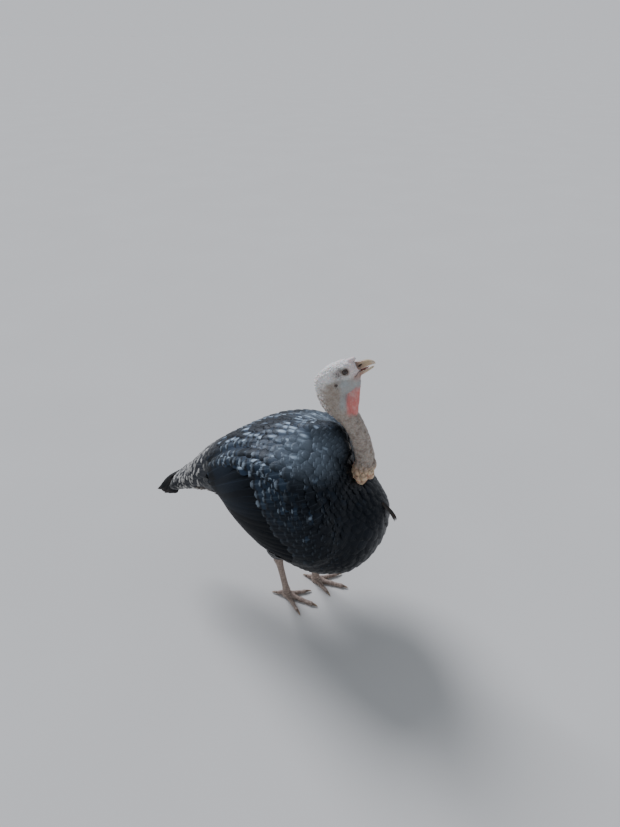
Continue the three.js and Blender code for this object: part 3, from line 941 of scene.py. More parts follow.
# ---------------------------------------------------------------- forms that the coat follows
@dataclass(frozen=True)
class Form:
    """A rounded body whose sections across one axis are superellipses.

    Rows hold the place along the axis, the middle on the two cross axes, the half width on the first
    cross axis, and the reach up and down on the second.
    """

    rows: Rows
    power: float = 2.0
    axes: tuple[int, int, int] = (0, 1, 2)

    def section(self, place: Array) -> Array:
        """The section's middle, half width and reaches at places along the axis, as five arrays."""
        return np.moveaxis(smooth_table(self.rows, place), -1, 0)

    def field(self, points: Array) -> Array:
        """About the distance outside the surface: scaled distance from the middle line, less the radius.

        Args:
            points: places in the bird's own frame.

        Returns:
            The value at each point.
        """
        s, u, v = (points[..., axis] for axis in self.axes)
        middle_u, middle_v, wide, above, below = self.section(s)
        v = v - middle_v
        wide = np.maximum(wide, 0.5)
        high = np.maximum(np.where(v > 0, above, below), 0.5)
        least = np.minimum(wide, (above + below) / 2)
        ratio = np.abs((u - middle_u) / wide) ** self.power + np.abs(v / high) ** self.power
        ratio = ratio ** (1 / self.power)
        beyond = np.maximum(s - self.rows[-1][0], 0) + np.maximum(self.rows[0][0] - s, 0)
        return ratio * np.maximum(least, 0.5) - least + beyond

    def surface(self, place: Array, angle: Array) -> Array:
        """Points of the surface at places along the axis and angles round it, in radians.

        Args:
            place: places along the axis.
            angle: angles, in radians.

        Returns:
            The points.
        """
        middle_u, middle_v, wide, above, below = self.section(place)
        c, s = bent(np.cos(angle), self.power), bent(np.sin(angle), self.power)
        points = np.empty((*np.broadcast(place, angle).shape, 3))
        points[..., self.axes[0]] = place
        points[..., self.axes[1]] = middle_u + wide * c
        points[..., self.axes[2]] = middle_v + np.where(s > 0, above, below) * s
        return points

    def angle(self, points: Array) -> Array:
        """Angle of points round the middle line, in radians, as surface() takes it.

        Args:
            points: places in the bird's own frame.

        Returns:
            One angle for each point.
        """
        s, u, v = (points[..., axis] for axis in self.axes)
        middle_u, middle_v, wide, above, below = self.section(s)
        v = v - middle_v
        c = (u - middle_u) / np.maximum(wide, 0.5)
        s = v / np.maximum(np.where(v > 0, above, below), 0.5)
        return np.arctan2(bent(s, 4 / self.power), bent(c, 4 / self.power))


def body_form() -> Form:
    """The whole feathered body, from the tips of the tail coverts to the breast.

    Returns:
        The form.
    """
    outline = [  # x, top, bottom, half width
        (-382, 318, 276, 44),
        (-335, 364, 290, 54),
        (-290, 417, 303, 64),
        (-246, 457, 317, 76),
        (-190, 499, 302, 100),
        (-120, 543, 248, 136),
        (-40, 571, 193, 163),
        (30, 575, 163, 171),
        (90, 547, 157, 163),
        (135, 498, 168, 143),
        (165, 452, 181, 122),
        (198, 416, 217, 93),
        (219, 393, 254, 66),
        (232, 366, 294, 36),
    ]
    rows = [
        (x, 0, (top + low) / 2, wide, (top - low) / 2, (top - low) / 2)
        for x, top, low, wide in outline
    ]
    return Form([(-396, 0, 289, 0, 0, 0), *rows, (BREAST_X, 0, 330, 0, 0, 0)], 2.12)


BODY = body_form()
RUFF = Form(  # dark feathers that rise from the back to the bare neck
    [
        (-30, 0, 540, 0, 0, 0),
        (10, 0, 545, 34, 33, 30),
        (55, 0, 545, 37, 47, 40),
        (92, 0, 545, 32, 50, 46),
        (118, 0, 540, 24, 34, 50),
        (138, 0, 525, 0, 0, 0),
    ]
)
WING_ROWS = [  # x, lower and upper edge in degrees round the trunk, thickness
    (-242, 0, 24, 3),
    (-215, -14, 44, 7),
    (-175, -29, 55, 11),
    (-115, -38, 60, 16),
    (-50, -38, 60, 19),
    (20, -34, 56, 21),
    (80, -28, 48, 21),
    (120, -18, 38, 17),
    (150, -6, 22, 8),
]
RUFF_FILLET = 16.0
NECK_BASE = np.array([138.0, 0.0, 480.0])  # where the lie of the feathers starts


def wing_share(points: Array) -> tuple[Array, Array]:
    """Where points lie in the folded wing's height, and how thick the wing is there.

    Args:
        points: places on or near the body.

    Returns:
        The share of the height, 0 at the lower edge and 1 at the upper, and the thickness.
    """
    low, high, thick = np.moveaxis(smooth_table(WING_ROWS, points[..., 0]), -1, 0)
    sideways = points * np.array([1.0, 0.0, 1.0]) + np.abs(points) * np.array([0.0, 1.0, 0.0])
    degrees = np.degrees(BODY.angle(sideways))
    ends = ease(-258, -225, points[..., 0]) * ease(172, 132, points[..., 0])
    return (degrees - low) / np.maximum(high - low, 1.0), thick * ends


def cover_field(points: Array) -> Array:
    """Field of the body with its folded wings and its ruff.

    It is the body's own, less the swell of the wing, and then the lesser of that and the ruff's, with
    a fillet where the two are nearly equal.

    Args:
        points: places in the bird's own frame.

    Returns:
        The value at each point.
    """
    share, thick = wing_share(points)
    edge = np.clip(np.minimum(share, 1 - share) / 0.3, 0, 1)
    winged = BODY.field(points) - (1.5 + thick) * (1 - (1 - edge) ** 2)
    ruff = RUFF.field(points)
    h = np.clip(0.5 + 0.5 * (ruff - winged) / RUFF_FILLET, 0, 1)
    return mix(ruff, winged, h) - RUFF_FILLET * h * (1 - h)


def lie(points: Array, normals: Array, droop: float) -> Array:
    """The way feathers point: away from the neck and back, laid onto the surface.

    Args:
        points: where the feathers grow.
        normals: outward directions there.
        droop: how much further down they point.

    Returns:
        Unit directions square to the normals.
    """
    away = unit(points - NECK_BASE) * 0.9 + np.array([-0.75, 0.0, -droop])
    return onto(normals, away)


# ---------------------------------------------------------------- feathers
@dataclass(frozen=True)
class Blade:
    """Proportions and face count of a feather's blade."""

    rows: int = 7
    columns: int = 9
    root: float = 0.34  # width at the root, as a share of the full width
    widest: float = 0.55  # how far along it is widest
    blunt: float = 1.05  # over 1 keeps the tip broad
    camber: float = 0.1  # drop of the edges, as a share of the half width
    thickness: float = 0.45
    spread: float = 0.8  # power that crowds the rows towards the tip

    def template(self) -> tuple[Array, Array, Array, Array]:
        """A closed blade: a grid on top and one row of points under its middle.

        Returns:
            Place along (0 to 1), place across (-1 to 1), depth under the top, and the faces.
        """
        t = np.linspace(0, 1, self.rows) ** self.spread
        c = np.linspace(-1, 1, self.columns)
        along = np.concatenate([np.repeat(t, self.columns), t])
        across = np.concatenate([np.tile(c, self.rows), np.zeros(self.rows)])
        under = np.concatenate([np.zeros(self.rows * self.columns), np.ones(self.rows)])
        grid = np.arange(self.rows * self.columns).reshape(self.rows, self.columns)
        low = self.rows * self.columns + np.arange(self.rows)
        top = np.stack([grid[:-1, :-1], grid[1:, :-1], grid[1:, 1:], grid[:-1, 1:]], -1).reshape(-1, 4)
        left = np.stack([grid[:-1, 0], low[:-1], low[1:], grid[1:, 0]], -1)
        right = np.stack([grid[:-1, -1], grid[1:, -1], low[1:], low[:-1]], -1)
        half = self.columns // 2
        ends = []
        for i in range(0, half, 2):
            far = self.columns - 1 - i
            ends.append((grid[0, i], grid[0, i + 1], grid[0, i + 2], low[0]))
            ends.append((grid[0, far - 2], grid[0, far - 1], grid[0, far], low[0]))
            ends.append((low[-1], grid[-1, i + 2], grid[-1, i + 1], grid[-1, i]))
            ends.append((low[-1], grid[-1, far], grid[-1, far - 1], grid[-1, far - 2]))
        return along, across, under, np.concatenate([top, left, right, np.array(ends)])

    def half_width(self, along: Array) -> Array:
        """Half width as a share of the full one: an eased rise, then an elliptical tip."""
        rise = mix(self.root, 1.0, ease(0.0, self.widest, along))
        past = np.clip((along - self.widest) / (self.blunt - self.widest), 0, 1)
        return rise * np.sqrt(1 - past**2.4 * 0.93)


@dataclass(frozen=True)
class Tract:
    """A patch of feathers as arrays, one entry for each feather."""

    roots: Array
    ways: Array
    lengths: Array
    widths: Array
    root_depth: Array | float
    tip_depth: Array | float
    tilt: Array | float = 0.0  # lifts one edge and sinks the other
    # share of painted glint, or of lacing or random tone, for each feather
    tint: Array | None = None

    def column(self, value: Array | float) -> Array:
        """A number, or one for each feather, as a column."""
        return np.broadcast_to(np.asarray(value, float), (len(self.roots),))[:, None]

    def walked(self, form: Field, along: Array) -> tuple[Array, Array, Array]:
        """The middle line of each feather, walked straight ahead over the form from its root.

        Each step goes on along the way, is settled back onto the form, and the way is then turned
        into the form's own slope there.

        Args:
            form: field of the surface.
            along: the shares of the length to stop at.

        Returns:
            The stops, the ways and the cross directions, with one entry for each feather and stop.
        """
        spots, ways, crosses = [self.roots], [self.ways], []
        for step in np.diff(along):
            ahead = spots[-1] + ways[-1] * (step * np.asarray(self.lengths))[:, None]
            spots.append(settle(form, ahead, 0.0, 2))
            normals = unit(gradient(form, spots[-1]))
            run = spots[-1] - spots[-2]
            ways.append(onto(normals, run))
        for spot, way in zip(spots, ways):
            crosses.append(unit(np.cross(gradient(form, spot), way)))
        return tuple(np.stack(parts, 1) for parts in (spots, ways, crosses))

    def laid(self, form: Field, blade: Blade, rng: np.random.Generator) -> tuple[Shape, dict, dict]:
        """Lays a blade over the form at each root.

        A point of a blade is its root, plus the way times the place along, plus the cross direction
        times the place across. It is then settled onto the form at a depth that rises from the root
        to the tip, less a camber that grows with the square of the place across.

        Args:
            form: field of the surface that the feathers cover.
            blade: their proportions.
            rng: source of the small differences between them.

        Returns:
            The shape, its UV maps and its named values.
        """
        along, across, under, faces = blade.template()
        count = len(self.roots)
        half = self.column(self.widths) / 2
        spine, ways, cross = self.walked(form, np.linspace(0, 1, blade.rows) ** blade.spread)
        row = np.concatenate([np.repeat(np.arange(blade.rows), blade.columns), np.arange(blade.rows)])
        ragged = rng.normal(0, 0.018, (count, len(along))) * (along > 0.75)
        shift = self.column(self.lengths) * (along * ragged - 0.035 * across**2 * along)
        out = half * across * blade.half_width(along)
        points = spine[:, row] + shift[..., None] * ways[:, row] + out[..., None] * cross[:, row]
        depth = mix(self.column(self.root_depth), self.column(self.tip_depth), along**0.85)
        depth = depth + self.column(self.tilt) * across
        depth = depth - blade.camber * half * across**2 + self.column(rng.normal(0, 0.25, count))
        points = settle(form, points, depth)
        points = points - blade.thickness * under[:, None] * unit(gradient(form, points))
        if self.tint is None:
            tint = rng.random(count)
        else:
            tint = np.clip(self.tint + rng.normal(0, 0.12, count), 0, 1)
        shape, maps = vanes(points, faces, np.stack([across, along], -1), unwrap(self.roots))
        return shape, maps, {"tint": np.repeat(tint, len(along)), "painted_sheen": painted_sheen_at(shape.points)}


def vanes(points: Array, faces: Array, places: Array, patches: Array) -> tuple[Shape, dict]:
    """Feathers as one shape, with a map of each vane and a patch of each on the bake map.

    Args:
        points: points of the feathers, as feathers by points by coordinates.
        faces: the faces of one feather.
        places: places of one feather's points, across (-1 to 1) and along (0 to 1).
        patches: places of the roots on the skin's unwrap.

    Returns:
        The shape and its UV maps.
    """
    count, size = points.shape[:2]
    step = np.arange(count)[:, None, None] * size
    vane = np.stack([places[:, 0] / 2 + 0.5, places[:, 1]], -1)
    bake = patches[:, None] * (1 - BAKE_PATCH) + BAKE_PATCH * vane
    maps = {"OFBake": bake.reshape(-1, 2), "Vane": np.tile(vane, (count, 1))}
    return Shape(points.reshape(-1, 3), (faces + step).reshape(-1, 4)), maps


def join_laid(parts: Sequence[tuple[Shape, dict, dict]]) -> tuple[Shape, dict, dict]:
    """Several laid tracts as one."""
    maps, values = (
        {key: np.concatenate([part[n][key] for part in parts]) for key in parts[0][n]} for n in (1, 2)
    )
    return together([part[0] for part in parts]), maps, values


def unwrap(points: Array) -> Array:
    """Places on the skin's unwrap: the share of the body's length, and of the turn round it."""
    front, back = BODY.rows[-1][0], BODY.rows[0][0]
    along = (points[..., 0] - back) / (front - back)
    round_it = (BODY.angle(points) / (2 * np.pi) + 0.25) % 1.0
    return np.clip(np.stack([along, round_it], -1), 0.0, 0.995)


def ring_roots(
    form: Form, ends: tuple[float, float], step: float, gap: float, rng: np.random.Generator
) -> Array:
    """Staggered root points in rings round a form, evenly apart over its surface.

    The rings stand where the form's lengthwise arcs, averaged round it, reach each multiple of the
    step. On a ring the roots stand at each multiple of the gap of its arc length.

    Args:
        form: the form.
        ends: where on its axis the rings start and stop.
        step: distance between rings.
        gap: distance between roots on a ring.
        rng: source of the small shifts.

    Returns:
        The roots.
    """
    places = np.linspace(*ends, 600)
    angles = np.linspace(-np.pi / 2, 1.5 * np.pi, 721)
    grid = form.surface(places[:, None], angles[None, ::15])
    arcs = np.linalg.norm(np.diff(grid, axis=0), axis=-1).mean(-1)
    run = np.concatenate([[0], np.cumsum(arcs)])
    roots = []
    for k, station in enumerate(np.interp(np.arange(step / 2, run[-1], step), run, places)):
        ring = form.surface(np.full_like(angles, station), angles)
        around = np.concatenate([[0], np.cumsum(np.linalg.norm(np.diff(ring, axis=0), axis=-1))])
        count = max(int(around[-1] / gap), 3)
        shares = (np.arange(count) + 0.5 * (k % 2) + rng.normal(0, 0.1, count)) / count % 1.0
        turned = np.interp(shares * around[-1], around, angles)
        shifted = np.clip(station + rng.normal(0, 0.08 * step, count), *sorted(ends))
        roots.append(form.surface(shifted, turned))
    return np.concatenate(roots)


def neck_distance(points: Array) -> Array:
    """Distance of points from the surface of the bare neck, near its foot.

    Args:
        points: places in the bird's own frame.

    Returns:
        One distance for each point, below 0 inside.
    """
    places = np.clip(points[:, 2], 446.0, 600.0)
    rows = [(446, 150), (478, 163), (508, 168), (540, 163), (575, 152), (600, 140)]
    middle = smooth_table(rows, places)[:, 0]
    off = points - np.stack([middle, 0 * middle, places], -1)
    return np.linalg.norm(off, axis=-1) - 24.0


def painted_sheen_at(points: Array) -> Array:
    """How much painted grey sheen the plumage has at points, 0 to 1: most on the upper shoulders."""
    x, y, z = points.T
    spot = ((x - 52) / 84) ** 2 + ((np.abs(y) - 72) / 66) ** 2 + ((z - 546) / 54) ** 2
    return 0.95 * np.exp(-(spot**1.5)) * ease(2, 24, neck_distance(points))


def glint(points: Array, normals: Array, rng: np.random.Generator) -> Array:
    """How much painted shine the feathers get, 0 to 1: most on the shoulders and along the sides of the
    back.

    Args:
        points: roots of the feathers.
        normals: outward directions there.
        rng: source of the differences between feathers.

    Returns:
        The share for each feather.
    """
    x, y, z = points.T
    slope = ease(1.02, 0.9, normals[:, 2]) * ease(0.0, 0.5, normals[:, 2])
    ridge = ease(44, 18, np.abs(y)) * ease(0, -50, x)
    share = 0.1 + 0.66 * slope * ease(-195, -120, x) * ease(110, 20, x) * (1 - 0.8 * ridge)
    share = share + 0.4 * (rng.random(len(points)) > 0.9) * (x < 120) * (z > 330)
    share = share * ease(2, 34, neck_distance(points)) * ease(290, 420, z + 0.1 * x)
    return np.clip(share + rng.normal(0, 0.15, len(points)), 0, 1)


@dataclass(frozen=True)
class BodyCoat:
    """Contour feathers of the ruff, back, breast, flanks, rump and tail coverts."""

    step: float = 18.0
    gap: float = 23.0
    fine_step: float = 9.0  # spacing close to the bare neck
    fine_gap: float = 12.0
    back_size: tuple[float, float] = (56.0, 41.0)
    breast_size: tuple[float, float] = (58.0, 47.0)
    covert_size: tuple[float, float] = (66.0, 31.0)
    covert_step: float = 13.0
    covert_gap: float = 17.0
    least_size: float = 0.46  # share of the full size, beside the neck
    fine_within: float = 62.0  # distance from the neck where the fine spacing ends
    coverts_start: float = -196.0
    rear: float = -372.0  # the rearmost roots
    tips_end: float = -408.0  # no tip lies further back than this
    seed: int = 11

    def roots(self, rng: np.random.Generator) -> Array:
        """Roots over the body and the ruff, closer together beside the neck.

        Args:
            rng: source of the differences between feathers.

        Returns:
            The roots.
        """
        wide = ring_roots(BODY, (236.6, self.rear), self.step, self.gap, rng)
        wide = wide[(RUFF.field(wide) > 2) & (wide[:, 0] >= self.coverts_start)]
        ends = (self.coverts_start, self.rear)
        rear = ring_roots(BODY, ends, self.covert_step, self.covert_gap, rng)
        close = ring_roots(BODY, (225.0, 60.0), self.fine_step, self.fine_gap, rng)
        close = close[RUFF.field(close) > 2]
        on_ruff = ring_roots(RUFF, (134.0, -24.0), 0.8 * self.step, 0.8 * self.gap, rng)
        by_neck = ring_roots(RUFF, (134.0, 50.0), self.fine_step, self.fine_gap, rng)
        on_ruff, by_neck = (part[BODY.field(part) > -4] for part in (on_ruff, by_neck))
        far = [part[neck_distance(part) >= self.fine_within] for part in (wide, on_ruff)]
        near = [part[neck_distance(part) < self.fine_within] for part in (close, by_neck)]
        return settle(cover_field, np.concatenate([*far, rear, *near]), 0.0)

    def build(self, shop: Workshop) -> None:
        """Lays the feathers, one piece for each region.

        Args:
            shop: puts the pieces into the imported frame.
        """
        rng = np.random.default_rng(self.seed)
        roots = self.roots(rng)
        normals = unit(gradient(cover_field, roots))
        share, thick = wing_share(roots)
        under_wing = (share > 0.1) & (share < 0.8) & (thick > 2)
        under_wing &= (roots[:, 0] > -232) & (roots[:, 0] < 100)
        on_body = BODY.field(roots) < 30
        kept = ~(under_wing & on_body) & (neck_distance(roots) > -5)
        roots, normals, share = roots[kept], normals[kept], share[kept]
        x = roots[:, 0]
        # close in front of the wing they run in under its coverts
        tips = np.where((share > 0.0) & (share < 0.9) & (x < 142) & (x > 60), -1.6, 1.0)
        near = mix(self.least_size, 1.0, ease(0, 105, neck_distance(roots)))
        coverts = x < self.coverts_start
        rest = ~coverts
        up = (roots[:, 2] > 430) & (x < 140)
        front, rear = ~up & rest & (x > 60), ~up & rest & (x <= 60)
        for name, chosen, size, finish, slot in (
            ("back_feathers", up & rest, self.back_size, Finish.BACK, "black_plumage"),
            ("breast_feathers", front, self.breast_size, Finish.BLACK, "black_plumage"),
            ("flank_feathers", rear, self.breast_size, Finish.BLACK, "black_plumage"),
            ("tail_covert_feathers", coverts, self.covert_size, Finish.LACED, "laced_plumage"),
        ):
            here = roots[chosen]
            grown = ease(self.coverts_start, -300, here[:, 0]) if name.startswith("tail") else 1.0
            full_length, full_width = (
                mix(plain, own, grown) * near[chosen] for plain, own in zip(self.back_size, size)
            )
            length = full_length * rng.uniform(0.9, 1.1, len(here))
            length = np.minimum(length, np.maximum(here[:, 0] - self.tips_end, 24))
            tract = Tract(
                roots=here,
                ways=lie(here, normals[chosen], 0.1),
                lengths=length,
                widths=full_width * rng.uniform(0.92, 1.08, len(here)),
                root_depth=-6.5 * near[chosen],
                tip_depth=tips[chosen],
                tilt=rng.normal(0, 0.35, len(here)),
                tint=(
                    self.lacing(here, rng)
                    if name.startswith("tail")
                    else glint(here, normals[chosen], rng)
                ),
            )
            blade = Blade(camber=0.15) if name.startswith("back") else Blade()
            shop.finished(shop.mesh(name, *tract.laid(cover_field, blade, rng)), finish, slot)
        self.fluff(shop, rng)

    def lacing(self, points: Array, rng: np.random.Generator) -> Array:
        """How pale the lacing is: it comes in over the first rows and ends low at the sides.

        Args:
            points: places in the bird's own frame.
            rng: source of the differences between feathers.

        Returns:
            The share for each feather.
        """
        x, y, z = points.T
        start = x + 9 * np.sin(y / 11)
        dark_end = ease(-286, -304, x) * ease(352, 336, z)
        share = ease(self.coverts_start + 4, -238, start) * (1 - dark_end)
        return np.clip(share + rng.normal(0, 0.12, len(x)), 0, 1)

    def fluff(self, shop: Workshop, rng: np.random.Generator) -> None:
        """Narrow downy plumes round the vent, which stand a little off the body.

        Args:
            shop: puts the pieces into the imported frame.
            rng: source of the differences between feathers.
        """
        roots = ring_roots(BODY, (-165.0, -262.0), 6.5, 7.5, rng)
        normals = unit(gradient(cover_field, roots))
        kept = normals[:, 2] < -0.5 - 0.25 * rng.random(len(roots))
        kept &= wing_share(roots)[0] < -0.05
        roots, normals = roots[kept], normals[kept]
        tract = Tract(
            roots=roots,
            ways=unit(lie(roots, normals, 0.1) + rng.normal(0, 0.16, roots.shape) * [1, 1, 0]),
            lengths=rng.uniform(24, 40, len(roots)),
            widths=rng.uniform(7, 11, len(roots)),
            root_depth=-3.0,
            tip_depth=rng.uniform(1.5, 4.5, len(roots)),
            tilt=rng.normal(0, 0.8, len(roots)),
        )
        blade = Blade(rows=5, columns=5, camber=0.3)
        piece = shop.mesh("vent_fluff", *tract.laid(cover_field, blade, rng))
        shop.finished(piece, Finish.FLUFF, "laced_plumage")


@dataclass(frozen=True)
class Wing:
    """One folded wing: rows of coverts over long flight feathers that draw together at the rear."""

    side: Side
    elbow: tuple[float, float] = (-32.0, 462.0)  # a point of the line where the coverts end
    forearm: tuple[float, float] = (0.6, -0.8)  # the way that line runs, down and forward
    covert_focus: tuple[float, float] = (-560.0, 280.0)  # the coverts point here
    flight_focus: tuple[float, float] = (-345.0, 345.0)  # the long feathers point here
    seed: int = 21

    def at(self, x: Array, z: Array) -> Array:
        """Points of the wing's outer surface at places of its side view, found by halving.

        Args:
            x: places along the bird.
            z: heights.

        Returns:
            The points.
        """
        inner, outer = np.zeros_like(x), np.full_like(x, 260.0)
        for _ in range(26):
            middle = (inner + outer) / 2
            outside = cover_field(np.stack([x, middle, z], -1)) > 0
            outer = np.where(outside, middle, outer)
            inner = np.where(outside, inner, middle)
        return np.stack([x, self.side.value * (inner + outer) / 2, z], -1)

    def line(self, q: Array) -> Array:
        """Side-view places on the line where the coverts end, at distances from the elbow."""
        return np.array(self.elbow) + q[:, None] * np.array(self.forearm)

    def tract(
        self,
        roots: Array,
        way: Array,
        length: Array,
        width: Array,
        rng: np.random.Generator,
        **depths: object,
    ) -> Tract:
        """Feathers from their roots and ways in side view.

        Args:
            roots: x and z of the roots.
            way: the ways they point, as x and z.
            length: their lengths.
            width: their widths.
            rng: source of the differences between them.
            depths: the tract's root_depth, tip_depth and tilt.

        Returns:
            The tract on the wing's outer surface.
        """
        placed = self.at(roots[:, 0], roots[:, 1])
        normals = unit(gradient(cover_field, placed))
        ahead = np.stack([way[:, 0], np.zeros(len(way)), way[:, 1]], -1)
        return Tract(
            roots=placed,
            ways=onto(normals, ahead),
            lengths=length,
            widths=width,
            tint=glint(placed, normals, rng),
            **depths,
        )

    def covert_row(
        self, offset: float, size: tuple[float, float], gap: float, rng: np.random.Generator
    ) -> Tract:
        """One row of coverts.

        Args:
            offset: how far in front of the line their tips stand.
            size: length and width.
            gap: distance between two of them along the line.
            rng: source of the differences between them.

        Returns:
            The row.
        """
        q = np.arange(-150, 260, gap) + gap * rng.random()
        q = q + rng.normal(0, gap * 0.07, len(q))
        way = unit(np.array(self.covert_focus) - self.line(q))
        tips = self.line(q) - way * (offset + rng.normal(0, 2.4, len(q)))[:, None]
        length = size[0] * rng.uniform(0.9, 1.1, len(q))
        roots = tips - way * length[:, None]
        share, thick = wing_share(self.at(tips[:, 0], tips[:, 1]))
        kept = (share > -0.05) & (share < 1.03) & (tips[:, 0] < 142) & (thick > 0.5)
        width = np.full(kept.sum(), size[1])
        tilt = -self.side.value * size[1] * 0.03
        depths = {"root_depth": -6.0, "tip_depth": 0.8, "tilt": tilt}
        return self.tract(roots[kept], way[kept], length[kept], width, rng, **depths)

    def reach(self, roots: Array, way: Array) -> Array:
        """How far feathers run before they leave the wing.

        Args:
            roots: x and z of the roots.
            way: the ways they point, as x and z.

        Returns:
            Their lengths.
        """
        steps = np.arange(20.0, 330.0, 6.0)
        places = roots[:, None] + way[:, None] * steps[:, None]
        share, _ = wing_share(self.at(places[..., 0].ravel(), places[..., 1].ravel()))
        outside = ((share < -0.02) | (share > 1.06)) | (places[..., 0].ravel() < -240)
        outside = outside.reshape(len(roots), -1)
        return np.where(outside.any(1), steps[np.argmax(outside, 1)], steps[-1])

    def flight(self, rng: np.random.Generator) -> Tract:
        """Secondaries and tertials: long blades, each lying over the next one below.

        Args:
            rng: source of the differences between feathers.

        Returns:
            The tract.
        """
        q = np.linspace(-102, 208, 17)
        way = unit(np.array(self.flight_focus) - self.line(q))
        # none starts on the ridge of the back
        inset = mix(42.0, 8.0, ease(-40, -95, q))
        roots = self.line(q) - way * inset[:, None]
        length = self.reach(roots, way) + rng.normal(0, 4, len(q))
        width = mix(37.0, 60.0, np.linspace(1, 0, len(q)) ** 1.5)
        return self.tract(
            roots,
            way,
            length,
            width,
            rng,
            root_depth=-9.0,
            tip_depth=np.linspace(1.2, -2.0, len(q)),
            tilt=-self.side.value * 2.9,
        )

    def scapulars(self, rng: np.random.Generator) -> list[Tract]:
        """Broad feathers of the shoulder, in three rows that close the gap between back and wing.

        Args:
            rng: source of the differences between feathers.

        Returns:
            The rows.
        """
        rows = []
        for lift, size in ((0.90, (74, 44)), (0.99, (68, 44)), (1.08, (62, 42))):
            x = np.arange(78, -176, -21.0) + rng.uniform(-7, 7)
            low, high, _ = np.moveaxis(smooth_table(WING_ROWS, x), -1, 0)
            angle = np.radians(low + lift * (high - low))
            angle = angle if self.side is Side.LEFT else np.pi - angle
            points = settle(cover_field, BODY.surface(x, angle), 0.0)
            normals = unit(gradient(cover_field, points))
            rows.append(
                Tract(
                    roots=points,
                    ways=lie(points, normals, 0.22),
                    lengths=size[0] * rng.uniform(0.9, 1.1, len(x)),
                    widths=size[1] * rng.uniform(0.92, 1.08, len(x)),
                    root_depth=-5.5,
                    tip_depth=1.9,
                    tilt=-self.side.value * 0.9,
                    tint=glint(points, normals, rng),
                )
            )
        return rows

    def primaries(self, rng: np.random.Generator) -> Tract:
        """The longest blades, tucked under the lower edge and drawn together at the rear.

        Args:
            rng: source of the differences between feathers.

        Returns:
            The tract.
        """
        count = 6
        v = np.linspace(0, 1, count)
        starts = np.stack([mix(-64.0, -92.0, v), mix(284.0, 300.0, v)], -1)
        ends = np.stack([mix(-196.0, -240.0, v), mix(338.0, 378.0, v)], -1)
        run = ends - starts
        return self.tract(
            starts,
            unit(run),
            np.linalg.norm(run, axis=-1),
            np.full(count, 27.0),
            rng,
            root_depth=-16.0,
            tip_depth=np.linspace(-4.0, -1.0, count),
            tilt=-self.side.value * 0.8,
        )

    def build(self, shop: Workshop) -> None:
        """Builds the coverts, the flight feathers and the primaries of this wing.

        Args:
            shop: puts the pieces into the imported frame.
        """
        rng = np.random.default_rng(self.seed)
        name = f"wing_{self.side.label}"
        rows = [
            self.covert_row(-14, (78, 37), 21, rng),
            self.covert_row(12, (56, 31), 17.5, rng),
            self.covert_row(32, (44, 27), 15.5, rng),
            *[self.covert_row(47 + 11 * k, (31, 22), rng.uniform(11.5, 14.5), rng) for k in range(15)],
            *self.scapulars(rng),
        ]
        blade = Blade(camber=0.13)
        coverts = join_laid([row.laid(cover_field, blade, rng) for row in rows])
        long = Blade(rows=13, columns=9, root=0.4, widest=0.7, blunt=1.03, camber=0.14, thickness=0.6)
        piece = shop.mesh(f"{name}_covert_feathers", *coverts)
        shop.finished(piece, Finish.COVERT, "wing_plumage", f"{name}_coverts")
        piece = shop.mesh(f"{name}_secondary_feathers", *self.flight(rng).laid(cover_field, long, rng))
        shop.finished(piece, Finish.WING, "wing_plumage", f"{name}_secondaries")
        piece = shop.mesh(f"{name}_primary_feathers", *self.primaries(rng).laid(cover_field, long, rng))
        shop.finished(piece, Finish.WING, "wing_plumage", f"{name}_primaries")


@dataclass(frozen=True)
class Tail:
    """The folded fan: eighteen long feathers stacked from the outer pair up to the middle one."""

    root: tuple[float, float, float] = (-243.0, 0.0, 384.0)
    length: float = 247.0
    droop: float = 36.5  # degrees below level
    count: int = 18
    width: float = 46.0
    seed: int = 31

    def build(self, shop: Workshop) -> None:
        """A point of the fan stands at a share s across it and a share v along it.

        It is the root, plus v times the reach backwards, plus s times the half width sideways, less
        an arch that grows with the square of s, and each feather bows down towards its tip. The reach
        shortens with the square of s too.

        Args:
            shop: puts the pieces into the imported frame.
        """
        rng = np.random.default_rng(self.seed)
        blade = Blade(rows=14, columns=9, root=0.3, widest=0.82, blunt=1.02, camber=0.0, thickness=0.7)
        along, across, under, faces = blade.template()
        order = np.arange(self.count)
        s = (order - (self.count - 1) / 2) / (self.count / 2) * 0.86
        v = along * (0.975 + rng.normal(0, 0.045, (self.count, 1)))
        v = v - 0.085 * across**2 * along
        v = v + rng.normal(0, 0.014, (self.count, len(along))) * (along > 0.85)
        spread = mix(27.0, 36.0, np.clip(along * 1.35, 0, 1))
        half = self.width / 2 * blade.half_width(along) * mix(0.62, 0.8, along)
        place = s[:, None] + across * half / spread
        place = np.clip(place, -1.0, 1.0)
        reach = self.length * (1 - 0.22 * place**2)
        stack = mix(5.5, 8.5, along**2) * (1 - 2 * np.abs(s[:, None]) ** 1.4)
        stack = stack + along**2 * rng.normal(0, 1.3, (self.count, 1))
        stack = stack + 25 * ease(0.25, 0.62, along) * ease(1.1, 0.72, along)
        bow = mix(13, 15, along) * place**2
        sag = 1.6 * (across * np.sign(s[:, None])) * along
        lift = stack - bow - sag - blade.thickness * under
        droop = math.radians(self.droop)
        back = np.array([-math.cos(droop), 0.0, -math.sin(droop)])
        up = np.array([-math.sin(droop), 0.0, math.cos(droop)])
        points = np.array(self.root) + (v * reach)[..., None] * back + lift[..., None] * up
        points[..., 1] -= place * spread
        shape, maps = vanes(points, faces, np.stack([across, along], -1), unwrap(points[:, 0]))
        values = {"tint": np.repeat(rng.random(self.count), len(along))}
        piece = shop.mesh("tail_feathers", shape, maps, values)
        shop.finished(piece, Finish.TAIL, "tail_plumage", "tail_fan")


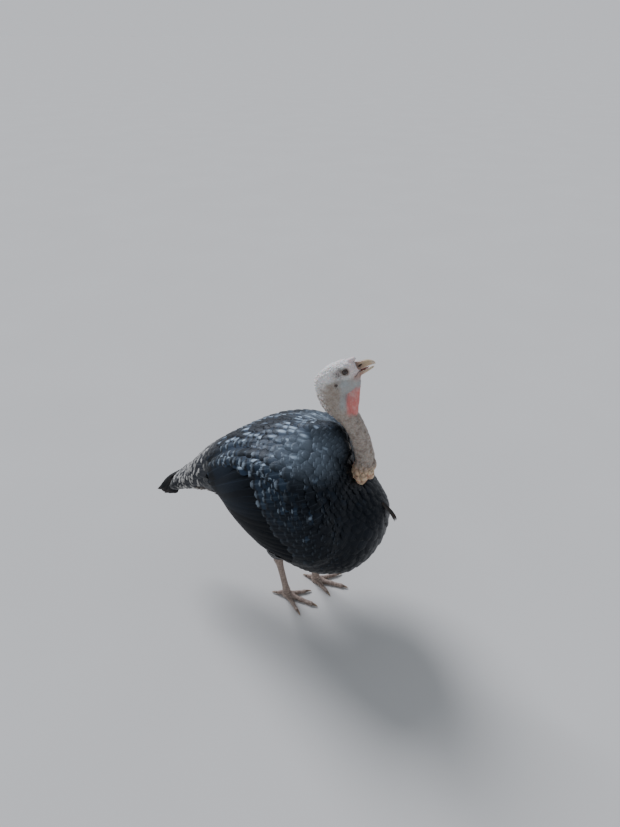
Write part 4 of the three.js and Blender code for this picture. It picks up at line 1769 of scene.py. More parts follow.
# ---------------------------------------------------------------- legs
@dataclass(frozen=True)
class Leg:
    """One leg: a feathered thigh, a scaled shank, a spur, and a foot with four clawed toes."""

    side: Side
    foot_x: float
    stance_half: float = 42.0
    shank_top: float = 150.0
    ankle: float = 17.0
    claw_length: float = 15.0
    sole_reach: float = 1.4  # a toe is this much deeper than round before its sole is flattened
    foot_height: float = 21.0  # below this the plates run along the toes
    toe_plate: float = 5.0
    shank_plate: float = 6.5
    toes: tuple[tuple[str, float, float, float], ...] = (  # name, heading outwards, length, radius
        ("middle", 4, 84, 7.6),
        ("inner", -34, 58, 6.8),
        ("outer", 40, 68, 6.8),
        ("hind", 172, 31, 5.4),
    )
    seed: int = 41

    @property
    def foot(self) -> tuple[float, float]:
        """Middle of the foot on the floor."""
        return self.foot_x, self.side.value * self.stance_half

    @property
    def hock(self) -> tuple[float, float]:
        """Middle of the hock, seen from above."""
        return self.foot_x - 20, self.side.value * (self.stance_half + 6)

    def thigh_form(self) -> Form:
        """The feathered thigh as a form round a vertical axis.

        Returns:
            The form.
        """
        s = self.side.value
        hock_x, hock_y = self.hock
        rows = [  # height, y, x, half width, reach forwards, reach backwards
            (146, hock_y, hock_x - 1, 0, 0, 0),
            (160, hock_y, hock_x + 1, 18, 19, 21),
            (186, s * 56, hock_x + 10, 30, 30, 36),
            (220, s * 64, hock_x + 26, 44, 44, 52),
            (262, s * 70, hock_x + 40, 44, 44, 50),
            (290, s * 70, hock_x + 46, 0, 0, 0),
        ]
        return Form(rows, 2.0, (2, 1, 0))

    def shank(self) -> Shape:
        """The bare shank with its hock and ankle.

        Returns:
            The shank.
        """
        s = self.side.value
        x, y = self.foot
        hock_x, hock_y = self.hock
        rows = [
            (hock_x - 3, hock_y, self.shank_top + 20, 0, 0, 0),
            (hock_x - 1, hock_y, self.shank_top + 8, 11, 13, 12),
            (hock_x, hock_y, self.shank_top - 6, 12.5, 15, 13),
            (hock_x + 4, hock_y - s, self.shank_top - 30, 8.6, 11, 9.5),
            (hock_x + 10, hock_y - s * 3, 80, 7.6, 9.8, 9),
            (x - 4, y, 38, 8.6, 10.2, 9.6),
            (x - 1, y, self.ankle + 4, 11, 11.5, 11),
            (x, y, 7, 0, 0, 0),
        ]
        return loft(rows, 24, 5, side=(0, -1, 0))

    def pad(self) -> Shape:
        """The ball of the foot, flat underneath.

        Returns:
            The pad.
        """
        x, y = self.foot
        rows = [
            (x - 15, y, 7, 0, 0, 0),
            (x - 10, y, 7, 9, 9, 14),
            (x + 2, y, 7, 13, 12, 15),
            (x + 13, y, 7, 12, 9, 14),
            (x + 20, y, 7, 0, 0, 0),
        ]
        return loft(rows, 28, 5).above(0.0)

    def digit(self, heading: float, rows: Rows, sides: int, steps: int, level: float) -> Shape:
        """A toe or a claw.

        Args:
            heading: the way it points, in degrees outwards from straight ahead.
            rows: distance from the foot's middle, height and radius.
            sides: points round a ring.
            steps: rings to each row.
            level: nothing lies lower than this.

        Returns:
            The solid.
        """
        way = math.radians(self.side.value * heading)
        x, y = self.foot
        c, s = math.cos(way), math.sin(way)
        stations = [(x + far * c, y + far * s, z, r, r, self.sole_reach * r) for far, z, r in rows]
        return loft(stations, sides, steps, side=(-s, c, 0)).above(level)

    def toe(self, name: str, heading: float, length: float, radius: float) -> Shape:
        """A toe with swollen pads at its joints.

        Args:
            name: its name; the hind toe stands higher and is plainer.
            heading: the way it points, in degrees outwards from straight ahead.
            length: how far it reaches from the foot's middle.
            radius: its radius at the root.

        Returns:
            The toe.
        """
        if name == "hind":
            rows = [
                (2, 15, 0),
                (8, 14, radius),
                (length * 0.6, 9, radius),
                (length - 3, 4.6, radius - 1),
                (length, 4, 0),
            ]
        else:
            rows = [
                (0, 6, 0),
                (8, 6.2, radius + 0.6),
                (length * 0.32, 5.8, radius - 0.2),
                (length * 0.44, 5.7, radius - 1.3),
                (length * 0.55, 5.6, radius - 0.8),
                (length * 0.67, 5.3, radius - 2.1),
                (length * 0.8, 5, radius - 1.8),
                (length - 4, 5, radius - 1.8),
                (length, 4.4, 0),
            ]
        return self.digit(heading, rows, 20, 5, 0.0)

    def claw(self, heading: float, length: float) -> Shape:
        """A claw, curving down from the end of its toe.

        Args:
            heading: the way its toe points, in degrees outwards from straight ahead.
            length: how far its toe reaches.

        Returns:
            The claw.
        """
        far = self.claw_length
        rows = [
            (length - 6, 6.2, 0),
            (length - 3, 6.2, 3.2),
            (length + far * 0.4, 5.4, 2.5),
            (length + far * 0.75, 3.6, 1.6),
            (length + far, 1.2, 0),
        ]
        return self.digit(heading, rows, 16, 6, 0.3)

    def plates(self, points: Array) -> Array:
        """The sine of each point's place between two grooves: 0 in a groove, 1 midway between two.

        Args:
            points: places in the bird's own frame.

        Returns:
            The value at each point.
        """
        x, y = self.foot
        far = np.hypot(points[:, 0] - x, points[:, 1] - y)
        on_foot = points[:, 2] < self.foot_height
        run = np.where(on_foot, far / self.toe_plate, points[:, 2] / self.shank_plate)
        return np.abs(np.sin(np.pi * run))

    def skin(self) -> Shape:
        """Shank, foot and toes melted into one skin, with broad plates in front and over the toes.

        A plate is raised by the square root of the sine of its place between two grooves.

        Returns:
            The skin as triangles.
        """
        parts = [self.shank(), self.pad(), *[self.toe(*toe) for toe in self.toes]]
        shape = fused(parts, 1.5, 3)
        points, normals = shape.points, point_normals(shape)
        height = points[:, 2]
        front = ease(0.1, 0.6, np.where(height < self.foot_height, normals[:, 2], normals[:, 0]))
        raised = 0.55 * self.plates(points) ** 0.5 * front * (height > 2) - 0.15
        lifted = points + normals * raised[:, None]
        lifted[:, 2] = np.where(height < 0.9, height.clip(0, None), lifted[:, 2].clip(0, None))
        return Shape(lifted, tris=shape.tris)

    def groove(self, points: Array) -> Array:
        """How deep in the groove between two plates the points lie, as the material needs it."""
        return ease(0.45, 0.1, self.plates(points))

    def build(self, shop: Workshop) -> None:
        """Builds the claws, the spur and the thigh's feathers; the skin is joined to the bird's.

        Args:
            shop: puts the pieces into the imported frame.
        """
        s = self.side.value
        x, y = self.foot
        claws = [self.claw(heading, length) for _, heading, length, _ in self.toes]
        for (name, heading, length, _), claw in zip(self.toes, claws):
            far = np.hypot(claw.points[:, 0] - x, claw.points[:, 1] - y)
            along = ease(length - 4, length + self.claw_length, far)
            values = {"along": along, "rim": np.zeros(len(along))}
            piece = shop.mesh(f"claw_horn_{self.side.label}_{name}", claw, values=values)
            shop.finished(piece, Finish.CLAW, "claw_horn", f"claw_{self.side.label}_{name}")
        spur = loft(
            [
                (x - 6, y - s * 2, 57, 0, 0, 0),
                (x - 12, y - s * 5, 57, 4, 4, 4),
                (x - 20, y - s * 9, 59, 2.6, 2.6, 2.6),
                (x - 25, y - s * 11, 62, 0, 0, 0),
            ],
            16,
            6,
        )
        along = ease(x - 8, x - 25, spur.points[:, 0])
        piece = shop.mesh(f"spur_horn_{self.side.label}", spur, values={"along": along, "rim": 0 * along})
        shop.finished(piece, Finish.CLAW, "claw_horn", f"spur_{self.side.label}")
        self.feathers(shop)

    def feathers(self, shop: Workshop) -> None:
        """Short feathers that point down the thigh and close over the hock.

        Args:
            shop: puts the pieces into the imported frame.
        """
        rng = np.random.default_rng(self.seed)
        form = self.thigh_form()
        roots = ring_roots(form, (288.0, 152.0), 9.0, 12.0, rng)
        roots = roots[BODY.field(roots) > -6]
        normals = unit(gradient(form.field, roots))
        away = np.array([-0.12, 0.0, -1.0])
        size = mix(0.62, 1.0, ease(150, 200, roots[:, 2]))
        longest = np.minimum(34 * size, np.maximum(roots[:, 2] - 138, 12))
        tract = Tract(
            roots=roots,
            ways=onto(normals, away),
            lengths=longest * rng.uniform(0.88, 1.1, len(roots)),
            widths=24 * size * rng.uniform(0.9, 1.1, len(roots)),
            root_depth=-4.5,
            tip_depth=0.6,
        )
        piece = shop.mesh(f"thigh_feathers_{self.side.label}", *tract.laid(form.field, Blade(), rng))
        shop.finished(piece, Finish.BLACK, "black_plumage")


LEGS = (Leg(Side.RIGHT, -30.0), Leg(Side.LEFT, 27.0))


# ---------------------------------------------------------------- head, neck and the one skin
def ripple(points: Array, length: float, seed: int, waves: int = 9) -> Array:
    """Smooth random waves through space, from -1 to 1: the mean of sines along random directions."""
    rng = np.random.default_rng(seed)
    ways = unit(rng.normal(size=(waves, 3))) * rng.uniform(0.7, 1.5, (waves, 1)) * 2 * np.pi / length
    return np.clip(np.sin(points @ ways.T + rng.uniform(0, 2 * np.pi, waves)).mean(-1) * 2.2, -1, 1)


def pebbles(points: Array, spacing: float, radius: float, seed: int) -> Array:
    """Heights from 0 to 1 of round bumps scattered over the points.

    Space is divided into cubes of the spacing, and one point of each cube that holds any is a bump's
    middle. The height is the square root of one less the squared share of the radius to the nearest
    middle, which is looked for in a point's own cube and the 26 round it.

    Args:
        points: points of a surface.
        spacing: distance between bumps.
        radius: radius of a bump.
        seed: seed of the choice.

    Returns:
        The height at each point.
    """
    rng = np.random.default_rng(seed)
    order = rng.permutation(len(points))
    cells = np.floor((points - points.min(0)) / spacing).astype(np.int64) + 1
    weights = np.array([1, 4096, 4096**2])
    keys, first = np.unique(cells[order] @ weights, return_index=True)
    middles = points[order[first]]
    sizes = rng.uniform(0.65, 1.15, len(middles)) * radius
    best = np.zeros(len(points))
    for step in np.ndindex(3, 3, 3):
        wanted = (cells + np.array(step) - 1) @ weights
        near = np.minimum(np.searchsorted(keys, wanted), len(keys) - 1)
        share = 1 - ((points - middles[near]) ** 2).sum(-1) / sizes[near] ** 2
        best = np.maximum(best, np.where(keys[near] == wanted, share, 0))
    return np.sqrt(best)


SPIKE_RINGS = 4


def spikes(roots: Array, ways: Array, lengths: Array, widths: Array) -> Shape:
    """Thin three-sided bristles that taper to a point.

    A ring stands at the root plus the length times its share t, and its radius is half the width
    times one less t, to the power 0.7.

    Args:
        roots: where they grow.
        ways: the ways they point.
        lengths: their lengths.
        widths: their widths at the root.

    Returns:
        The bristles.
    """
    t = np.linspace(0, 1, SPIKE_RINGS, endpoint=False)
    side = unit(np.cross(ways, np.array([0.31, 0.17, 0.93])))
    other = np.cross(ways, side)
    turns = np.arange(3) / 3 * 2 * np.pi
    middle = roots[:, None] + (lengths[:, None] * t)[..., None] * ways[:, None]
    around = side[:, None] * np.cos(turns)[:, None] + other[:, None] * np.sin(turns)[:, None]
    thin = widths[:, None] / 2 * (1 - t) ** 0.7
    rings = middle[:, :, None] + thin[..., None, None] * around[:, None]
    tips = roots + lengths[:, None] * ways
    points = np.concatenate([rings.reshape(len(roots), -1, 3), tips[:, None]], 1)
    tip = SPIKE_RINGS * 3
    tris = np.array([[tip - 3, tip - 2, tip], [tip - 2, tip - 1, tip], [tip - 1, tip - 3, tip], [2, 1, 0]])
    step = np.arange(len(roots))[:, None, None] * (tip + 1)
    quads = (tube_quads(SPIKE_RINGS, 3) + step).reshape(-1, 4)
    return Shape(points.reshape(-1, 3), quads, (tris + step).reshape(-1, 3))


@dataclass(frozen=True)
class Head:
    """Bare head and neck. The head has its own frame, with +X along the skull from the pivot."""

    pivot: tuple[float, float, float] = (88.0, 0.0, 700.0)
    yaw: float = 12.0
    pitch: float = 28.0
    eye_place: tuple[float, float, float] = (42.0, 16.4, 30.5)
    eye_radius: float = 7.5
    opening: tuple[float, float] = (6.1, 5.1)  # half length and half height between the lids
    ear_place: tuple[float, float, float] = (10.5, 26.5, 10.5)
    nostril: tuple[float, float, float] = (77.0, 9.0, 28.5)
    voxel: float = 1.25
    skull_rows: Rows = (
        (-45, 0, 2, 0, 0, 0),
        (-39, 0, 3, 13, 17, 18),
        (-24, 0, 6, 20.5, 30, 32),
        (-2, 0, 9, 24, 37, 38),
        (22, 0, 13, 24.5, 39.5, 40),
        (42, 0, 19, 22.5, 33, 37),
        (56, 0, 22, 17.5, 26.5, 27),
        (66, 0, 24, 12.5, 18, 17),
        (73, 0, 25, 0, 0, 0),
    )
    upper_bill_rows: Rows = (
        (56, 0, 25, 0, 0, 0),
        (60, 0, 25.5, 10.5, 11, 9),
        (70, 0, 25.5, 9.8, 11, 9),
        (82, 0, 25, 8.2, 10, 8.2),
        (93, 0, 24, 6.2, 8.2, 6.4),
        (101, 0, 21.8, 4.2, 6, 5),
        (106, 0, 18.5, 2.2, 3.6, 3.2),
        (108, 0, 15, 0, 0, 0),
    )
    lower_bill_rows: Rows = (
        (46, 0, 8, 0, 0, 0),
        (56, 0, 8.5, 10.2, 5.6, 6.5),
        (68, 0, 8.6, 8.8, 5, 5.6),
        (80, 0, 8.9, 7, 4.1, 4.2),
        (92, 0, 10, 4.9, 3, 3),
        (100, 0, 11, 3, 2, 2),
        (104, 0, 12, 0, 0, 0),
    )
    snood_rows: Rows = (
        (48, 0, 42, 0, 0, 0),
        (56, 0, 44.5, 6.6, 5.6, 5.4),
        (64, 0, 45.5, 6.0, 5.0, 5.0),
        (70, 0, 45.2, 4.8, 4.2, 4.2),
        (75, 0, 43.8, 0, 0, 0),
    )
    neck_rows: Rows = (
        (118, 0, 426, 0, 0, 0),
        (144, 0, 453, 23, 24, 26),
        (161, 0, 481, 22.5, 24, 25),
        (168, 0, 508, 21.5, 22, 23),
        (163, 0, 540, 21.5, 22.5, 22.5),
        (152, 0, 575, 21.5, 22.5, 22),
        (137, 0, 606, 22, 23.5, 22),
        (116, 0, 634, 23, 30, 24),
        (95, 0, 660, 24, 39, 27),
        (84, 0, 686, 23, 41, 30),
        (88, 2, 712, 17, 22, 22),
        (96, 4, 728, 0, 0, 0),
    )
    dewlap_rows: Rows = (
        (128, 6, 738, 0, 0, 0),
        (130, 5.5, 724, 5, 16, 13),
        (129, 3.5, 702, 5, 17, 15),
        (130, 0.5, 678, 5.4, 16, 16.5),
        (132, -3.5, 655, 6.8, 13.5, 16.5),
        (134, -6, 640, 7.0, 11.5, 11),
        (137, -6, 628, 0, 0, 0),
    )
    # height, radius, stretch upwards, how far out, first and last angle round the neck, count
    bead_rings: Rows = (
        (474, 10.5, 1.15, 2.4, -92, 34, 4),
        (485, 8.6, 1.4, 2.4, -104, 92, 7),
        (498, 6.0, 1.8, 1.2, -96, 90, 8),
        (510, 3.8, 2.1, 0.5, -80, 74, 8),
    )
    seed: int = 51

    @property
    def turned(self) -> Array:
        """The head's rotation."""
        return turn("z", self.yaw) @ turn("y", -self.pitch)

    def placed(self, shape: Shape) -> Shape:
        """A shape of the head's own frame, put on the bird."""
        return shape.moved(self.turned, np.array(self.pivot))

    def local(self, points: Array) -> Array:
        """Points of the bird in the head's own frame."""
        return (points - np.array(self.pivot)) @ self.turned

    def eye_axis(self, side: Side) -> Array:
        """The way an eye looks, in the head's own frame."""
        return unit(np.array([0.26, side.value * 0.95, 0.16]))

    def eye_centre(self, side: Side) -> Array:
        """Middle of an eyeball, in the head's own frame."""
        return np.array(self.eye_place) * [1, side.value, 1]

    def skin(self) -> Shape:
        """Skull, neck, throat flap, snood and beads melted into one skin, then worked into.

        The work is a sum of heights along the normals: bumps, creases, brows, sockets and ears.

        Returns:
            The skin as triangles.
        """
        parts = [
            self.placed(loft(self.skull_rows, 48, 6, 2.1)),
            loft(self.neck_rows, 48, 5),
            loft(self.dewlap_rows, 32, 6),
            self.placed(loft(self.snood_rows, 20, 6)),
            *self.bead_lobes(),
            *[self.placed(self.gape_fold(side)) for side in Side],
        ]
        shape = fused(parts, self.voxel, 3)
        points, normals = shape.points, point_normals(shape)
        work = self.bumps(points)[0] + self.creases(points) + self.features(points)
        work = work - 1.5 * self.bead_seams(points) + 1.1 * self.flap_share(points)
        return Shape(points + normals * work[:, None], tris=shape.tris)

    def bead_places(self) -> Array:
        """Middle, radius and stretch of each fleshy bead, in rings round the foot of the neck.

        A bead stands at the neck's middle plus its half width, less most of the bead's own radius,
        along the angle of its place in the ring.

        Returns:
            x, y, z, radius and upright radius of each.
        """
        rng = np.random.default_rng(self.seed + 4)
        places = []
        for height, radius, tall, out, first, final, count in self.bead_rings:
            angles = np.radians(np.linspace(first, final, count) + rng.normal(0, 5, count))
            middle_x = float(smooth_table([(446, 150), (478, 163), (508, 168)], height)[0])
            sizes = radius * rng.uniform(0.7, 1.3, count)
            reach = 24.5 + out - sizes * 0.45
            z = height + 5 * np.sin(angles) + rng.normal(0, 3.2, count)
            x, y = middle_x + reach * np.cos(angles), 0.97 * reach * np.sin(angles)
            places.append(np.stack([x, y, z, sizes, sizes * tall], -1))
        return np.concatenate(places)

    def bead_lobes(self) -> list[Shape]:
        """The beads as upright egg shapes.

        Returns:
            One shape for each bead.
        """
        lobes = []
        for x, y, z, radius, tall in self.bead_places():
            egg = ball(20)
            lobes.append(Shape(egg.points * [radius, radius, tall] + [x, y, z], egg.quads, egg.tris))
        return lobes

    def bead_seams(self, points: Array) -> Array:
        """How deep points lie between two beads, 0 to 1: most where the two nearest are equally far.

        Args:
            points: places in the bird's own frame.

        Returns:
            The share at each point.
        """
        places = self.bead_places()
        near = (points[:, 2] < 516) & (points[:, 2] > 436) & (points[:, 0] > 130)
        away = (points[near, None] - places[:, :3]) / places[:, None, [3, 3, 4]].transpose(1, 0, 2)
        distance = np.sort(np.linalg.norm(away, axis=-1), axis=1)
        seam = np.zeros(len(points))
        between = np.exp(-(((distance[:, 1] - distance[:, 0]) / 0.16) ** 2))
        seam[near] = between * ease(2.2, 1.5, distance[:, 0])
        return seam

    def gape_fold(self, side: Side) -> Shape:
        """The fleshy fold at the corner of the mouth, in the head's own frame.

        Args:
            side: the side of the head.

        Returns:
            The fold.
        """
        s = side.value
        rows = [
            (44, s * 17, 9, 0, 0, 0),
            (50, s * 15.5, 11, 2.4, 2.6, 2.6),
            (58, s * 12.6, 14, 2.2, 2.4, 2.4),
            (66, s * 10, 15.5, 1.4, 1.6, 1.6),
            (71, s * 9, 15.5, 0, 0, 0),
        ]
        return loft(rows, 14, 5)

    def crown_share(self, points: Array) -> Array:
        """How far points belong to the pale crown and nape."""
        a, _, b = self.local(points).T
        top = ease(14, 30, b + 0.1 * a + 3 * ripple(points, 26, 3))
        nape = ease(-8, -30, a) * ease(668, 700, points[:, 2] + 5 * ripple(points, 20, 4))
        return np.maximum(top, nape * self.nape_share(points))

    def nape_share(self, points: Array) -> Array:
        """How far points belong to the strip of warts, which narrows down the back of the neck."""
        _, w, _ = self.local(points).T
        return np.maximum(ease(690, 716, points[:, 2]), ease(21, 13, np.abs(w)))

    def snood_share(self, points: Array) -> Array:
        """How far points belong to the snood."""
        a, w, b = self.local(points).T
        return ease(49, 56, a) * ease(37, 41, b) * ease(11, 8, np.abs(w))

    def bumps(self, points: Array) -> tuple[Array, Array]:
        """Height of the warts and beads of the skin, and how raised each point is, 0 to 1.

        Args:
            points: places in the bird's own frame.

        Returns:
            Both, for each point.
        """
        a, _, b = self.local(points).T
        crown = self.crown_share(points)
        neck = ease(646, 610, points[:, 2] - 0.3 * points[:, 0])
        clear = ease(8, 13, self.nearest(self.eye_distance, points)) * (1 - self.flap_share(points))
        clear = clear * ease(74, 62, a) * (1 - 0.9 * self.snood_share(points))
        coarse = pebbles(points, 6.6, 3.5, self.seed)
        middle = pebbles(points, 4.6, 2.3, self.seed + 1)
        fine = pebbles(points, 3.0, 1.5, self.seed + 2)
        base = ease(506, 486, points[:, 2])
        rim = ease(18, 30, b) * ease(62, 40, a)
        back = ease(-6, -26, a) * ease(618, 648, points[:, 2]) * self.nape_share(points)
        heights = coarse * (0.5 * neck * (1 - base) + 1.7 * rim * crown + 2.1 * back)
        heights += middle * (crown + 0.4 * neck + 0.3) * (1 - 0.8 * base) + fine * 0.35
        raised = coarse * (1.1 * back + 0.8 * rim + 0.08 * neck)
        raised += middle * (crown + 0.06 * neck + 0.12) * (1 - base)
        return heights * clear, np.clip(raised, 0, 1) * clear

    def creases(self, points: Array) -> Array:
        """Folds across the neck, which sink where two waves along it meet, and folds down the flap.

        Args:
            points: places in the bird's own frame.

        Returns:
            The height at each point.
        """
        s = 0.94 * points[:, 2] - 0.35 * points[:, 0]
        wave = np.sin(2 * np.pi * s / 11 + 2.4 * ripple(points, 34, 5))
        depth = np.clip(-wave, 0, 1) ** 2 * ease(660, 620, points[:, 2]) * ease(470, 500, points[:, 2])
        down = np.sin(2 * np.pi * points[:, 0] / 5.5 + 1.6 * ripple(points, 20, 6))
        down = down * self.flap_share(points)
        loose = 0.7 * ripple(points, 16, 7) * ease(700, 640, points[:, 2])
        return -0.5 * depth + 0.4 * down + loose - 1.5 * self.mouth_line(points)

    def mouth_line(self, points: Array) -> Array:
        """The crease that runs on from the corner of the mouth: 1 on its line, falling to 0 in 2 mm."""
        a, w, b = self.local(points).T
        run = np.clip((a - 58) / 14, 0, 1)
        distance = np.hypot(a - mix(58, 72, run), b - mix(11.5, 16.5, run) - 0.8 * np.sin(a * 0.5))
        return np.exp(-((distance / 1.5) ** 2)) * (np.abs(w) > 5) * 0.8

    def eye_distance(self, points: Array, side: Side) -> Array:
        """Distance of points from the line an eye looks along, on its own side of the head.

        Args:
            points: places in the bird's own frame.
            side: the side of the head.

        Returns:
            The distance, and 99 behind the eye.
        """
        away = self.local(points) - self.eye_centre(side)
        axis = self.eye_axis(side)
        forward = away @ axis
        distance = np.linalg.norm(away - forward[:, None] * axis, axis=-1)
        return np.where(forward > -6, distance, 99.0)

    def ear_distance(self, points: Array, side: Side) -> Array:
        """Distance of points from an ear's middle."""
        return np.linalg.norm(self.local(points) - np.array(self.ear_place) * [1, side.value, 1], axis=-1)

    def nearest(self, distance: Callable[[Array, Side], Array], points: Array) -> Array:
        """The lesser of a distance's two values, one for each side."""
        return np.minimum(*[distance(points, side) for side in Side])

    def features(self, points: Array) -> Array:
        """Sockets, brows, cheeks and ears.

        Args:
            points: places in the bird's own frame.

        Returns:
            The height at each point.
        """
        height = np.zeros(len(points))
        a, w, b = self.local(points).T
        for side in Side:
            eye, ear = self.eye_distance(points, side), self.ear_distance(points, side)
            near = w * side.value > 4
            height -= 4.5 * ease(6.4, 4.4, eye)
            height += 0.9 * ease(12, 8.5, eye) * ease(5.5, 7.5, eye)
            brow = ((a - 42) / 15) ** 2 + ((b - 42) / 4.5) ** 2
            height += 1.5 * np.exp(-brow) * near
            hollow = ((a - 30) / 11) ** 2 + ((b - 19) / 6) ** 2
            height -= 1.2 * np.exp(-hollow) * near
            cheek = ((a - 26) / 12) ** 2 + (b / 10) ** 2
            height += 1.0 * np.exp(-cheek) * near
            height += 0.9 * np.exp(-(((ear - 5.4) / 1.5) ** 2)) - 3.2 * ease(3.9, 1.6, ear)
        return height

    def flap_share(self, points: Array) -> Array:
        """How far points belong to the throat flap.

        Args:
            points: places in the bird's own frame.

        Returns:
            The share at each point.
        """
        x, y, z = points.T
        middle = smooth_table([(627, -6), (655, -3.5), (678, 0.5), (702, 3.5), (738, 6)], z)[:, 0]
        wide = mix(15.0, 7.0, ease(640, 690, z))
        z = z + 2.5 * ripple(points, 15, 9)
        inside = ease(112, 124, x) * ease(wide + 3, wide - 3, np.abs(y - middle))
        return inside * ease(633, 645, z) * ease(717, 695, z)

    def colours(self, points: Array) -> dict[str, Array]:
        """The named values that place the skin's colours, each from 0 to 1.

        Args:
            points: places in the bird's own frame.

        Returns:
            The values by name.
        """
        a, w, b = self.local(points).T
        x, _, z = points.T
        blur = 3.5 * ripple(points, 18, 8)
        cheek = np.exp(-(((a - 30 + blur) / 15) ** 2) - ((b - 6 + blur) / 13) ** 2)
        throat = ease(100, 114, x) * ease(640, 668, z) * ease(742, 720, z)
        ear, eye = (self.nearest(way, points) for way in (self.ear_distance, self.eye_distance))
        smudge = np.exp(-(((a - 26 + blur) / 12) ** 2) - ((b - 32 + blur) / 11) ** 2) * (np.abs(w) > 8)
        below = np.exp(-(((a - 12 + blur) / 12) ** 2) - ((b - 14) / 9) ** 2)
        on_neck = ease(470, 500, z) * ease(660, 620, z)
        bead = ease(512, 488, z + blur)
        # painted shade in the neck's creases, the ear, the mouth's crease and between beads; dark skin
        # round and behind the eye
        shade_and_dark_skin_parts = [
            np.clip(-self.creases(points), 0, 1) * on_neck * 0.55,
            1.3 * ease(5.2, 2.4, ear),
            0.5 * ease(9, 5.5, eye),
            1.1 * smudge * (0.45 + 0.55 * pebbles(points, 5.2, 2.8, self.seed + 7)),
            0.16 * below,
            self.mouth_line(points) * 1.2,
            0.6 * self.bead_seams(points) * bead,
        ]
        bill_root = 0.2 * ease(42, 58, a) * ease(715, 730, z)
        pink = [self.flap_share(points), 0.3 * self.snood_share(points), bill_root]
        return {
            "crown": self.crown_share(points) * ease(7, 14, eye) * (1 - 0.6 * smudge),
            "cheek": np.maximum(0.8 * cheek, 0.6 * throat),
            "flap": np.max(pink, axis=0),
            "bead": bead,
            "raised": self.bumps(points)[1],
            "shade_and_dark_skin": np.clip(np.sum(shade_and_dark_skin_parts, axis=0), 0, 1),
        }

    def eyes(self, shop: Workshop) -> None:
        """Eyeballs with a slight cornea, and the lids that ring them.

        A point of the ball is the centre plus the radius times a unit vector at an angle from the
        axis. The cornea adds height that falls with the square of the distance from the axis. A lid is
        a tube along an almond-shaped ring that rests on the ball.

        Args:
            shop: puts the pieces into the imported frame.
        """
        for side in Side:
            axis, centre = self.eye_axis(side), self.eye_centre(side)
            ahead = unit(np.cross(np.array([0, 0, 1.0]), axis)) * -side.value
            up = unit(np.cross(ahead, axis) * -side.value)
            up = up * np.sign(up[2])
            rows = [(i, 0, 0, r, r, r) for i, r in enumerate(np.sin(np.linspace(0, np.pi, 25)))]
            globe = loft(rows, 40, 1)
            unit_way = globe.points.copy()
            unit_way[:, 0] = -np.cos(np.pi * unit_way[:, 0] / 24)
            off = np.hypot(unit_way[:, 1], unit_way[:, 2])
            bulge = 0.35 * np.clip(1 - (off / 0.6) ** 2, 0, 1) * (unit_way[:, 0] > 0)
            basis = np.stack([axis, ahead, up])
            if np.linalg.det(basis) < 0:
                basis[1] = -basis[1]
            points = centre + (self.eye_radius + bulge)[:, None] * (unit_way @ basis)
            ring = np.where(unit_way[:, 0] > 0, off, 1.0)
            shape = self.placed(Shape(points, globe.quads, globe.tris))
            piece = shop.mesh(f"eyeball_{side.label}", shape, values={"ring": ring})
            shop.finished(piece, Finish.EYE, "eye", f"eye_{side.label}")
            self.lids(shop, side, centre, basis)

    def lids(self, shop: Workshop, side: Side, centre: Array, basis: Array) -> None:
        """The ring of lids round one eye, thicker above, with a dark wet margin inside.

        Args:
            shop: puts the piece into the frame.
            side: which eye.
            centre: middle of the eyeball.
            basis: the eye's axis, and the ways ahead and up across it.
        """
        axis, ahead, up = basis
        around, sides = 72, 16
        turns = np.linspace(0, 2 * np.pi, around, endpoint=False)
        tube = np.linspace(0, 2 * np.pi, sides, endpoint=False)
        c, s = np.cos(turns), np.sin(turns)
        up_sign = np.sign(up[2])
        wide = self.opening[0] + 1.5
        high = self.opening[1] + np.where(s * up_sign > 0, 1.7, 1.4)
        u, v = wide * c * (1 + 0.05 * np.abs(c)), high * s
        radial = unit(np.stack([u, v], -1))
        reach = np.hypot(u, v)
        rest = np.sqrt(np.clip(self.eye_radius**2 - reach**2, 4, None)) + 0.25
        thick = 1.2 + 0.35 * np.clip(s * up_sign, 0, 1)
        out = reach[:, None] - thick[:, None] * np.cos(tube) * 1.25
        forward = rest[:, None] + 0.95 * np.sin(tube) + 0.25 * np.sin(3 * turns)[:, None] * 0.4
        sideways = out[..., None] * radial[:, None]
        points = centre + forward[..., None] * axis + sideways[..., :1] * ahead + sideways[..., 1:] * up
        grid = np.arange(around * sides).reshape(around, sides)
        onward, beside = np.roll(grid, -1, 0), np.roll(grid, -1, 1)
        quads = np.stack([grid, beside, np.roll(onward, -1, 1), onward], -1).reshape(-1, 4)
        shape = self.placed(Shape(points.reshape(-1, 3), quads))
        if side_volume(shape) < 0:
            shape = Shape(shape.points, shape.quads[:, ::-1])
        inner = np.tile(0.3 + 0.7 * ease(0.0, 0.9, np.cos(tube)), around)
        zero = np.zeros(len(inner))
        values = dict.fromkeys(("crown", "cheek", "flap", "bead", "raised"), zero)
        values |= {"cheek": zero + 0.35, "shade_and_dark_skin": inner}
        piece = shop.mesh(f"eyelids_{side.label}", shape, values=values)
        shop.finished(piece, Finish.SKIN, "head_skin")

